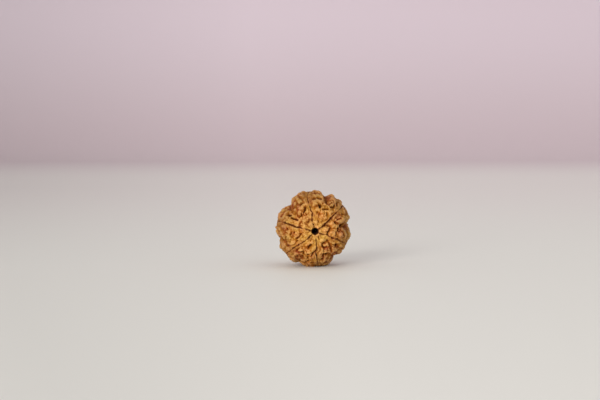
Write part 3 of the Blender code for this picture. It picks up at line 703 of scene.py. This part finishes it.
def near_guide(tree, size, guide_name, place, pattern):
    """Distance to the nearest line or point of a guide, and the values stored there."""
    element, spacing, bends, *names = GUIDES[guide_name]
    bent = stray(tree, place, pattern, spacing, bends)
    shape = node(tree, "GeometryNodeObjectInfo", {"Object": size[guide_name]}, "Geometry")
    inputs = {"Geometry": shape, "Sample Position": bent}
    distance = node(tree, "GeometryNodeProximity", inputs, "Distance", target_element=element)
    index = node(tree, "GeometryNodeSampleNearest", inputs, domain="POINT")
    stored = []
    for name in names:
        value = node(tree, "GeometryNodeInputNamedAttribute", {"Name": name}, data_type="FLOAT")
        inputs = {"Geometry": shape, "Value": value, "Index": index}
        stored.append(node(tree, "GeometryNodeSampleIndex", inputs, domain="POINT"))
    return distance, *stored


def centred_noise(tree, pattern, spacing, detail, roughness=0.5):
    """Noise about zero whose patches are about a spacing apart."""
    inputs = {"Vector": pattern, "Scale": 1 / spacing, "Detail": detail, "Roughness": roughness}
    noise = node(tree, "ShaderNodeTexNoise", inputs)
    return node(tree, "ShaderNodeMath", {0: noise, 1: 0.5}, operation="SUBTRACT")


def patches(tree, pattern, spacing, low, high, start, end):
    """A value that runs from start to end over patches of the surface about a spacing apart."""
    inputs = {"Vector": pattern, "Scale": 1 / spacing, "Detail": 1.0}
    noise = node(tree, "ShaderNodeTexNoise", inputs)
    inputs = dict(zip(RANGE, (noise, low, high, start, end)))
    return node(tree, "ShaderNodeMapRange", inputs, **EASED)


def groove(tree, distance, reach, depth):
    """Depth of a rounded groove, which is deepest on its guide and ends at its reach."""
    inputs = dict(zip(RANGE, (distance, 0.0, reach, 1.0, 0.0)))
    share = node(tree, "ShaderNodeMapRange", inputs, **EASED)
    return node(tree, "ShaderNodeMath", {0: share, 1: depth}, operation="MULTIPLY")


def seam_relief(tree, size, place, pattern):
    """Depth and shade of the seams, depth along the lips, share past them, and the lobe's lift."""
    distance, lift, strength = near_guide(tree, size, "Seams", place, pattern)
    reach = patches(tree, pattern, *SEAM_REACH_PATCHES)
    reach = node(tree, "ShaderNodeMath", {0: reach, 1: strength}, operation="MULTIPLY")
    reach = node(tree, "ShaderNodeMath", {0: reach, 1: size["Seam Reach"]}, operation="MULTIPLY")
    # Reach of the painted shade beside the seam, which the material reads
    wide = node(tree, "ShaderNodeMath", {0: reach, 1: SEAM_SHADE}, operation="MULTIPLY")
    shade = groove(tree, distance, wide, strength)
    depth = patches(tree, pattern, *SEAM_DEPTH_PATCHES)
    strength = node(tree, "ShaderNodeMath", {0: strength, 1: SEAM_FADE}, operation="POWER")
    depth = node(tree, "ShaderNodeMath", {0: depth, 1: strength}, operation="MULTIPLY")
    depth = node(tree, "ShaderNodeMath", {0: depth, 1: size["Seam Depth"]}, operation="MULTIPLY")
    seam = groove(tree, distance, reach, depth)

    lip = patches(tree, pattern, *LIP_WIDTH_PATCHES)
    lip = node(tree, "ShaderNodeMath", {0: lip, 1: size["Lip Width"]}, operation="MULTIPLY")
    from_lip = node(tree, "ShaderNodeMath", {0: distance, 1: lip}, operation="SUBTRACT")
    from_lip = node(tree, "ShaderNodeMath", {0: from_lip}, operation="ABSOLUTE")
    edge = groove(tree, from_lip, LIP_EDGE_WIDTH, patches(tree, pattern, *LIP_EDGE_PATCHES))
    wide = node(tree, "ShaderNodeMath", {0: lip, 1: LIP_FADE}, operation="ADD")
    inputs = dict(zip(RANGE, (distance, lip, wide)))
    past_lips = node(tree, "ShaderNodeMapRange", inputs, **EASED)
    return seam, shade, edge, past_lips, lift


def knob_relief(tree, size, pattern):
    """Height of the knobs: rounded cells of unlike heights, some run together into short ridges."""
    bent = stray(tree, pattern, pattern, *KNOB_STRAY)
    scale = node(tree, "ShaderNodeMath", {0: 1.0, 1: size["Knob Spacing"]}, operation="DIVIDE")
    cell = {"Vector": bent, "Scale": scale, "Randomness": KNOB_RANDOMNESS}
    edge = node(tree, "ShaderNodeTexVoronoi", cell, "Distance", feature="DISTANCE_TO_EDGE")
    own = node(tree, "ShaderNodeTexVoronoi", cell, "Color", feature="F1")
    inputs = dict(zip(RANGE, (edge, 0.0, KNOB_EDGE, 1.0, 0.0)))
    fall = node(tree, "ShaderNodeMapRange", inputs)
    fall = node(tree, "ShaderNodeMath", {0: fall, 1: KNOB_POWER}, operation="POWER")
    dome = node(tree, "ShaderNodeMath", {0: 1.0, 1: fall}, operation="SUBTRACT")
    inputs = {0: own, 1: KNOB_RANGE, 2: LOWEST_KNOB}
    own = node(tree, "ShaderNodeMath", inputs, operation="MULTIPLY_ADD")
    tall = node(tree, "ShaderNodeMath", {0: dome, 1: own}, operation="MULTIPLY")
    apart = patches(tree, pattern, *KNOBS_APART_PATCHES)
    share = node(tree, "ShaderNodeMix", {"Factor": apart, 2: JOINED_KNOBS, 3: tall})
    return node(tree, "ShaderNodeMath", {0: share, 1: size["Knob Height"]}, operation="MULTIPLY")


def wart_relief(tree, size, pattern):
    """Depth of the creases between the small warts, and of the finest wrinkles."""
    bent = stray(tree, pattern, pattern, *WART_STRAY)
    creases = 0.0
    for finer in (1.0, 2.0):
        scale = node(tree, "ShaderNodeMath", {0: finer, 1: size["Wart Spacing"]}, operation="DIVIDE")
        cell = {"Vector": bent, "Scale": scale, "Randomness": WART_RANDOMNESS}
        edge = node(tree, "ShaderNodeTexVoronoi", cell, "Distance", feature="DISTANCE_TO_EDGE")
        inputs = dict(zip(RANGE, (edge, 0.0, WART_EDGE, 1.0, 0.0)))
        crease = node(tree, "ShaderNodeMapRange", inputs)
        crease = node(tree, "ShaderNodeMath", {0: crease, 1: WART_POWER}, operation="POWER")
        spacing, *edges = WART_PATCHES
        here = patches(tree, pattern, spacing / finer, *edges)
        crease = node(tree, "ShaderNodeMath", {0: crease, 1: here}, operation="MULTIPLY")
        crease = node(tree, "ShaderNodeMath", {0: crease, 1: 1 / finer}, operation="MULTIPLY")
        creases = node(tree, "ShaderNodeMath", {0: creases, 1: crease}, operation="ADD")
    creases = node(tree, "ShaderNodeMath", {0: creases, 1: size["Wart Height"]}, operation="MULTIPLY")
    grain = centred_noise(tree, bent, GRAIN_SPACING, 2.0)
    grain = node(tree, "ShaderNodeMath", {0: grain, 1: size["Grain Height"]}, operation="MULTIPLY")
    return creases, grain


def fold_relief(tree, pattern):
    """Depth of narrow folds that wind over the skin like worm tracks."""
    bent = stray(tree, pattern, pattern, *FOLD_STRAY)
    level = centred_noise(tree, bent, FOLD_SPACING, 2.0, 0.45)
    level = node(tree, "ShaderNodeMath", {0: level}, operation="ABSOLUTE")
    return groove(tree, level, FOLD_EDGE, patches(tree, pattern, *FOLD_PATCHES))


def stone_tree(inputs_wanted):
    """Geometry nodes that raise and sink the turned blank, and store where it is hollow."""
    tree = bpy.data.node_groups.new("stone surface", "GeometryNodeTree")
    tree.interface.new_socket("Geometry", in_out="INPUT", socket_type="NodeSocketGeometry")
    for name, kind in inputs_wanted.items():
        tree.interface.new_socket(name, in_out="INPUT", socket_type=kind)
    tree.interface.new_socket("Geometry", in_out="OUTPUT", socket_type="NodeSocketGeometry")
    size = tree.nodes.new("NodeGroupInput").outputs
    place = node(tree, "GeometryNodeInputPosition")
    inputs = {0: (1, 1, 1), "Scale": size["Pattern"]}
    moved = node(tree, "ShaderNodeVectorMath", inputs, operation="SCALE")
    pattern = node(tree, "ShaderNodeVectorMath", {0: place, 1: moved}, operation="ADD")
    flat = node(tree, "ShaderNodeVectorMath", {0: place, 1: (1, 0, 1)}, operation="MULTIPLY")
    across = node(tree, "ShaderNodeVectorMath", {0: flat}, "Value", operation="LENGTH")

    seam, shade, edge, past_lips, lift = seam_relief(tree, size, place, pattern)
    inputs = dict(zip(RANGE, (across, *MOUTH_FADE)))
    from_mouth = node(tree, "ShaderNodeMapRange", inputs, **EASED)
    rough = node(tree, "ShaderNodeMath", {0: past_lips, 1: from_mouth}, operation="MULTIPLY")
    knobs = knob_relief(tree, size, pattern)
    knobs = node(tree, "GeometryNodeBlurAttribute", {"Value": knobs, "Iterations": KNOB_BLUR})
    along = node(tree, "ShaderNodeSeparateXYZ", {"Vector": place}, "Y")
    inputs = dict(zip(RANGE, (along, *FRONT_FADE)))
    off_front = node(tree, "ShaderNodeMapRange", inputs, **EASED)
    knobbly = node(tree, "ShaderNodeMath", {0: rough, 1: off_front}, operation="MULTIPLY")
    height = node(tree, "ShaderNodeMix", {"Factor": knobbly, 2: SKIN_HEIGHT, 3: knobs})

    distance, depth, reach = near_guide(tree, size, "Valleys", place, pattern)
    inputs = dict(zip(RANGE, (distance, 0.0, reach, 1.0, 0.0)))
    in_valley = node(tree, "ShaderNodeMapRange", inputs)
    in_valley = node(tree, "ShaderNodeMath", {0: in_valley, 1: VALLEY_POWER}, operation="POWER")
    valley = node(tree, "ShaderNodeMath", {0: in_valley, 1: depth}, operation="MULTIPLY")
    on_lobe = node(tree, "ShaderNodeMath", {0: 1.0, 1: in_valley}, operation="SUBTRACT")
    height = node(tree, "ShaderNodeMath", {0: lift, 1: on_lobe, 2: height}, operation="MULTIPLY_ADD")

    distance, depth, reach = near_guide(tree, size, "Bumps", place, pattern)
    bump = groove(tree, distance, reach, depth)
    height = node(tree, "ShaderNodeMath", {0: height, 1: bump}, operation="ADD")

    distance, depth, reach = near_guide(tree, size, "Creases", place, pattern)
    core = groove(tree, distance, reach, depth)
    wide = node(tree, "ShaderNodeMath", {0: reach, 1: DISH_REACH}, operation="MULTIPLY")
    dish = groove(tree, distance, wide, depth)
    pit = node(tree, "ShaderNodeMath", {0: dish, 1: DISH_SHARE, 2: core}, operation="MULTIPLY_ADD")

    for sunk in (edge, valley, pit):
        height = node(tree, "ShaderNodeMath", {0: height, 1: sunk}, operation="SUBTRACT")
    height = node(tree, "GeometryNodeBlurAttribute", {"Value": height, "Iterations": EDGE_BLUR})
    inputs = {0: rough, 1: 1 - LIP_WARTS, 2: LIP_WARTS}
    warty = node(tree, "ShaderNodeMath", inputs, operation="MULTIPLY_ADD")
    creases, grain = wart_relief(tree, size, pattern)
    folds = fold_relief(tree, pattern)
    fine = node(tree, "ShaderNodeMath", {0: creases, 1: folds}, operation="ADD")
    fine = node(tree, "ShaderNodeMath", {0: fine, 1: FINE_MEAN}, operation="SUBTRACT")
    fine = node(tree, "ShaderNodeMath", {0: fine, 1: warty}, operation="MULTIPLY")
    for sunk in (fine, seam, grain):
        height = node(tree, "ShaderNodeMath", {0: height, 1: sunk}, operation="SUBTRACT")
    swell = centred_noise(tree, pattern, SWELL_SPACING, 1.0)
    inputs = {0: swell, 1: 2 * SWELL_HEIGHT, 2: height}
    height = node(tree, "ShaderNodeMath", inputs, operation="MULTIPLY_ADD")
    inputs = dict(zip(RANGE, (across, MOUTH_RADIUS, MOUTH_RADIUS + RIM_RADIUS)))
    outside = node(tree, "ShaderNodeMapRange", inputs, **EASED)
    height = node(tree, "ShaderNodeMath", {0: height, 1: outside}, operation="MULTIPLY")

    near = node(tree, "GeometryNodeBlurAttribute", {"Value": height, "Iterations": NEAR_BLUR})
    wide = node(tree, "GeometryNodeBlurAttribute", {"Value": near, "Iterations": WIDE_BLUR})
    hollow = node(tree, "ShaderNodeMath", {0: near, 1: height}, operation="SUBTRACT")
    hollow = node(tree, "ShaderNodeMath", {0: hollow, 1: MM}, operation="DIVIDE")
    basin = node(tree, "ShaderNodeMath", {0: wide, 1: near}, operation="SUBTRACT")
    basin = node(tree, "ShaderNodeMath", {0: basin, 1: MM}, operation="DIVIDE")
    in_seam = node(tree, "ShaderNodeMath", {0: seam, 1: size["Seam Depth"]}, operation="DIVIDE")
    in_pit = node(tree, "ShaderNodeMath", {0: pit, 1: MM}, operation="DIVIDE")
    shape = size["Geometry"]
    for name, value in zip(STORED, (hollow, basin, in_seam, shade, past_lips, in_pit, across)):
        inputs = {"Geometry": shape, "Name": name, "Value": value}
        shape = node(tree, "GeometryNodeStoreNamedAttribute", inputs, data_type="FLOAT", domain="POINT")
    normal = node(tree, "GeometryNodeInputNormal")
    offset = node(tree, "ShaderNodeVectorMath", {0: normal, "Scale": height}, operation="SCALE")
    shape = node(tree, "GeometryNodeSetPosition", {"Geometry": shape, "Offset": offset})
    raised = node(tree, "GeometryNodeInputPosition")
    lowest = {0: raised, 1: (-1.0, -1.0, -REST_HEIGHT)}
    lifted = node(tree, "ShaderNodeVectorMath", lowest, operation="MAXIMUM")
    shape = node(tree, "GeometryNodeSetPosition", {"Geometry": shape, "Position": lifted})
    shape = node(tree, "GeometryNodeSetShadeSmooth", {"Geometry": shape, "Shade Smooth": True})
    shape = node(tree, "GeometryNodeRealizeInstances", {"Geometry": shape})
    shape = node(tree, "GeometryNodeSetMaterial", {"Geometry": shape, "Material": size["Material"]})
    tree.links.new(shape, tree.nodes.new("NodeGroupOutput").inputs["Geometry"])
    return tree


def stained(tree, colour, stain, value, limits, shares=(0.0, 1.0)):
    """The colour turned into a stain by a share that follows a value, and that share."""
    inputs = dict(zip(RANGE, (value, *limits, *shares)))
    share = node(tree, "ShaderNodeMapRange", inputs, **EASED)
    inputs = {0: share, 6: colour, 7: (*stain, 1.0)}
    return node(tree, "ShaderNodeMix", inputs, 2, data_type="RGBA"), share


def woody_stone():
    """Dry woody fruit stone, brushed clean: satin ochre skin, rough hollows darkened by painted shade,
    and tops rubbed glossy and pale with a painted highlight.
    """
    finish = bpy.context.scene.stone_finish
    material, tree, shader = plain_material("woody_stone")
    place = node(tree, "ShaderNodeTexCoord", {}, "Object")
    stored = {
        name: node(tree, "ShaderNodeAttribute", {}, "Fac", attribute_name=name) for name in STORED
    }

    # Redder patches as wide as a few knobs, and small freckles within them
    inputs = {"Vector": place, "Scale": 1 / BLOTCH_SPACING, "Detail": 3.0, "Roughness": 0.6}
    blotch = node(tree, "ShaderNodeTexNoise", inputs)
    colour, _ = stained(tree, (*finish.wood, 1.0), finish.deep, blotch, *RED_PATCHES)
    inputs = {"Vector": place, "Scale": 1 / FRECKLE_SPACING, "Detail": 4.0, "Roughness": 0.65}
    freckle = node(tree, "ShaderNodeTexNoise", inputs)
    roughened = node(tree, "ShaderNodeMath", {0: freckle, 1: 0.5}, operation="SUBTRACT")

    # Paler, yellower skin on the lips and round the mouths
    inputs = dict(zip(RANGE, (stored["across"], *PALE_MOUTH)))
    near_mouth = node(tree, "ShaderNodeMapRange", inputs, **EASED)
    on_lip = node(tree, "ShaderNodeMath", {0: 1.0, 1: stored["past_lips"]}, operation="SUBTRACT")
    inputs = {0: on_lip, 1: PALE_LIPS, 2: near_mouth}
    pale = node(tree, "ShaderNodeMath", inputs, operation="MULTIPLY_ADD")
    least = node(tree, "ShaderNodeMath", {0: pale, 1: LEAST_PALE}, operation="MULTIPLY")
    colour, _ = stained(tree, colour, finish.lip, freckle, PALE_FRECKLES, (least, pale))

    # Tops rubbed pale by handling, and a painted highlight on the tops of the knobs and lips
    inputs = {0: stored["basin"], 1: BASIN_SHARE, 2: stored["hollow"]}
    level = node(tree, "ShaderNodeMath", inputs, operation="MULTIPLY_ADD")
    inputs = {0: roughened, 1: FRECKLE_SHARE, 2: level}
    level = node(tree, "ShaderNodeMath", inputs, operation="MULTIPLY_ADD")
    colour, worn = stained(tree, colour, finish.worn, level, *WORN_AND_HIGHLIT_TOPS)

    # Painted shade in the creases and beside the seams, where the hollows are also rougher as if dusty,
    # and darkest painted shade in pits, in the seams and in the thread hole
    colour, sunk = stained(tree, colour, finish.hollow, level, *DUST_AND_SHADE_IN_HOLLOWS)
    colour, _ = stained(tree, colour, finish.hollow, stored["shade"], *SEAM_SIDES)
    roughening = [(worn, WORN_ROUGHNESS), (sunk, DUST_ROUGHNESS), (roughened, DUST_ROUGHNESS)]
    for name, *shown in DARK_PLACES:
        colour, dark = stained(tree, colour, finish.crevice, stored[name], *shown)
        roughening.append((dark, DARK_ROUGHNESS))

    # Hue that wanders between rust and olive, and a fine mottling of the whole skin, with painted shade
    # that darkens it round the waist and lightens it a little round the mouths
    inputs = {"Vector": place, "Scale": 1 / HUE_SPACING, "Detail": 2.0, "Roughness": 0.6}
    hue = node(tree, "ShaderNodeTexNoise", inputs)
    inputs = {0: hue, 1: HUE_SPREAD, 2: 0.5 - HUE_SPREAD / 2 - HUE_LEAN}
    hue = node(tree, "ShaderNodeMath", inputs, operation="MULTIPLY_ADD")
    inputs = dict(zip(RANGE, (freckle, *MOTTLE)))
    mottle = node(tree, "ShaderNodeMapRange", inputs, **EASED)
    inputs = dict(zip(RANGE, (stored["across"], *WAIST_SHADE)))
    away = node(tree, "ShaderNodeMapRange", inputs, **EASED)
    mottle = node(tree, "ShaderNodeMath", {0: mottle, 1: away}, operation="MULTIPLY")
    colour = node(tree, "ShaderNodeHueSaturation", {"Color": colour, "Hue": hue, "Value": mottle})
    tree.links.new(colour, shader.inputs["Base Color"])

    gloss = finish.roughness
    for share, change in roughening:
        gloss = node(tree, "ShaderNodeMath", {0: share, 1: change, 2: gloss}, operation="MULTIPLY_ADD")
    gloss = node(tree, "ShaderNodeMath", {0: gloss, 1: 1.0}, operation="MINIMUM")
    tree.links.new(gloss, shader.inputs["Roughness"])
    shader.inputs["IOR"].default_value = WOOD_IOR
    shader.inputs["Specular IOR Level"].default_value = WOOD_SPECULAR

    # Pores and fibres too fine for the mesh
    inputs = {"Vector": place, "Scale": 1 / PORE_SPACING, "Detail": 3.0, "Roughness": 0.6}
    pores = node(tree, "ShaderNodeTexNoise", inputs)
    inputs = {"Height": pores, "Strength": PORE_STRENGTH, "Distance": PORE_DEPTH}
    tree.links.new(node(tree, "ShaderNodeBump", inputs, "Normal"), shader.inputs["Normal"])
    return material


def place_in_frame(stone):
    """Moves the stone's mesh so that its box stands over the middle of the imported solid's box."""
    low, high = (Vector(corner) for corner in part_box(STONE_NODE))
    middle = (low + high) / 2
    xs = [v.co.x for v in stone.data.vertices]
    ys = [v.co.y for v in stone.data.vertices]
    over_x = middle.x - (min(xs) + max(xs)) / 2
    over_y = middle.y - (min(ys) + max(ys)) / 2
    shift = Vector((over_x, over_y, REST_HEIGHT))
    for vertex in stone.data.vertices:
        vertex.co += shift
        vertex.co.z = max(vertex.co.z, 0.0)


class GrowStone(bpy.types.Operator):
    """Builds the finely knobbed stone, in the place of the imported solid."""

    bl_idname = "seed.grow_stone"
    bl_label = "Grow Stone"

    def execute(self, context):
        form = context.scene.stone_form
        blank = turned_blank()
        draw = random.Random(DRAWN_SEED)
        seams = seam_lines(draw)
        lines = (seams, valley_lines(), crease_lines(draw, seams, form.lip_width), bump_points())
        guides = {name: guide(name, each) for name, each in zip(GUIDES, lines)}
        values = {**guides, "Material": woody_stone()}
        for name in StoneForm.__annotations__:
            values[name.replace("_", " ").title()] = float(getattr(form, name))
        kinds = {name: "NodeSocketFloat" for name in values}
        kinds.update({name: "NodeSocketObject" for name in guides})
        kinds["Material"] = "NodeSocketMaterial"
        tree = stone_tree(kinds)
        surface = blank.modifiers.new("surface", "NODES")
        surface.node_group = tree
        for item in tree.interface.items_tree:
            if item.in_out == "INPUT" and item.name in values:
                surface[item.identifier] = values[item.name]
        fewer = blank.modifiers.new("fewer faces", "DECIMATE")
        fewer.ratio = MOST_TRIANGLES / (2 * TURN_STEPS * len(blank.data.vertices))
        graph = context.evaluated_depsgraph_get()
        mesh = bpy.data.meshes.new_from_object(blank.evaluated_get(graph))
        if not mesh.polygons:
            raise RuntimeError("The stone has no faces")
        mesh.name = "knobbed_stone"
        stone = linked("knobbed_stone", mesh)
        for helper in (blank, *guides.values()):
            bpy.data.objects.remove(helper)
        place_in_frame(stone)
        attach(stone, STONE_BODY)
        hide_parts(STONE_NODE)
        return {"FINISHED"}


def camera_back(settings):
    """The direction from the seed to the camera."""
    azimuth, elevation = settings.azimuth, settings.elevation
    level = math.cos(elevation)
    return Vector((math.sin(azimuth) * level, -math.cos(azimuth) * level, math.sin(elevation)))


def add_camera(settings, target):
    """A camera at the photograph's angle, aimed so that the seed lands where the photograph has it."""
    data = bpy.data.cameras.new("camera")
    data.lens = settings.lens
    data.sensor_width = SENSOR_WIDTH
    camera = linked("camera", data)
    back = camera_back(settings)
    right = Vector((math.cos(settings.azimuth), math.sin(settings.azimuth), 0))
    up = back.cross(right)
    pixel = settings.distance * SENSOR_WIDTH / settings.lens / FRAME_WIDTH
    across = (SEED_AT[0] - FRAME_MIDDLE[0]) * pixel
    down = (SEED_AT[1] - FRAME_MIDDLE[1]) * pixel
    camera.location = target + back * settings.distance
    aim = target - right * across + up * down
    camera.rotation_euler = (camera.location - aim).to_track_quat("Z", "Y").to_euler()
    bpy.context.scene.camera = camera


def add_floor(settings):
    """A pale floor that curves up into a backdrop behind the seed, with painted shade at the foot of
    the backdrop and on the left.
    """
    profile = [(FLOOR_FRONT, 0.0), (BEND_START, 0.0)]
    for i in range(1, BEND_STEPS + 1):
        turn = math.pi / 2 * i / BEND_STEPS
        out, up = math.sin(turn), 1 - math.cos(turn)
        profile.append((BEND_START + BEND_RADIUS * out, BEND_RADIUS * up))
    profile.append((BEND_START + BEND_RADIUS, BACKDROP_HEIGHT))
    points = []
    for x in (-FLOOR_HALF_WIDTH, FLOOR_HALF_WIDTH):
        points += [(x, y, z) for y, z in profile]
    count = len(profile)
    faces = [(i, count + i, count + i + 1, i + 1) for i in range(count - 1)]
    mesh = bpy.data.meshes.new("floor")
    mesh.from_pydata(points, [], faces)
    mesh.shade_smooth()
    material, tree, shader = plain_material("painted_board")
    place = node(tree, "ShaderNodeTexCoord", {}, "Object")
    side, back, height = (
        node(tree, "ShaderNodeSeparateXYZ", {"Vector": place}, axis) for axis in "XYZ"
    )
    colour, _ = stained(tree, (*settings.floor, 1.0), settings.far_floor, back, FAR_LIMITS)
    # Painted shade: the far floor and the foot of the backdrop darker where the floor turns up into it
    colour, _ = stained(tree, colour, settings.low_backdrop, back, BACK_LIMITS)
    colour, _ = stained(tree, colour, settings.backdrop, height, HEIGHT_LIMITS)
    # Painted shade: the floor and the backdrop darker towards the left, the shaded band widening
    # further back
    inputs = {0: back, 1: SHADE_SPREAD, 2: 1.0}
    widening = node(tree, "ShaderNodeMath", inputs, operation="MULTIPLY_ADD")
    side = node(tree, "ShaderNodeMath", {0: side, 1: widening}, operation="DIVIDE")
    inputs = dict(zip(RANGE, (back, *FAR_LIMITS, FRONT_SHADE, LEFT_SHADE)))
    least = node(tree, "ShaderNodeMapRange", inputs)
    inputs = dict(zip(RANGE, (side, *SHADE_LIMITS, least)))
    shade = node(tree, "ShaderNodeMapRange", inputs)
    colour = node(tree, "ShaderNodeHueSaturation", {"Color": colour, "Value": shade})
    tree.links.new(colour, shader.inputs["Base Color"])
    shader.inputs["Roughness"].default_value = BOARD_ROUGHNESS
    mesh.materials.append(material)
    linked("floor", mesh)


def add_light(name, place, target, size, power, colour):
    """A square area light that faces the target."""
    data = bpy.data.lights.new(name, "AREA")
    data.shape = "SQUARE"
    data.size = size
    data.energy = power
    data.color = colour
    light = linked(name, data)
    light.location = place
    light.rotation_euler = (Vector(place) - target).to_track_quat("Z", "Y").to_euler()


class SetStage(bpy.types.Operator):
    """Sets up the floor, the backdrop, the lights and the camera."""

    bl_idname = "seed.set_stage"
    bl_label = "Set Stage"

    def execute(self, context):
        settings = context.scene.stage_settings
        target = Vector((0, 0, REST_HEIGHT))
        add_camera(settings, target)
        add_floor(settings)
        add_light("key", KEY_PLACE, target, KEY_SIZE, settings.key_power, KEY_COLOUR)
        world = bpy.data.worlds.new("studio")
        world.use_nodes = True
        background = world.node_tree.nodes["Background"]
        background.inputs["Color"].default_value = (*hex_colour(FILL_COLOUR), 1.0)
        background.inputs["Strength"].default_value = settings.fill_strength
        context.scene.world = world
        context.scene.view_settings.view_transform = "Standard"
        return {"FINISHED"}


class SeedPanel(bpy.types.Panel):
    """Lists the stone's and the stage's settings."""

    bl_idname = "SEED_PT_settings"
    bl_label = "Rudraksha Seed"
    bl_space_type = "VIEW_3D"
    bl_region_type = "UI"
    bl_category = "Seed"

    def draw(self, context):
        groups = (
            (context.scene.stone_form, None),
            (context.scene.stone_finish, GrowStone.bl_idname),
            (context.scene.stage_settings, SetStage.bl_idname),
        )
        for group, operator in groups:
            box = self.layout.box()
            for name in group.__annotations__:
                box.prop(group, name)
            if operator:
                box.operator(operator)


CLASSES = (StoneForm, StoneFinish, StageSettings, GrowStone, SetStage, SeedPanel)


def register():
    for each in CLASSES:
        bpy.utils.register_class(each)
    bpy.types.Scene.stone_form = PointerProperty(type=StoneForm)
    bpy.types.Scene.stone_finish = PointerProperty(type=StoneFinish)
    bpy.types.Scene.stage_settings = PointerProperty(type=StageSettings)


def unregister():
    del bpy.types.Scene.stage_settings
    del bpy.types.Scene.stone_finish
    del bpy.types.Scene.stone_form
    for each in reversed(CLASSES):
        bpy.utils.unregister_class(each)


def main():
    register()
    bpy.ops.seed.grow_stone()
    bpy.ops.seed.set_stage()


if __name__ == "__main__":
    main()
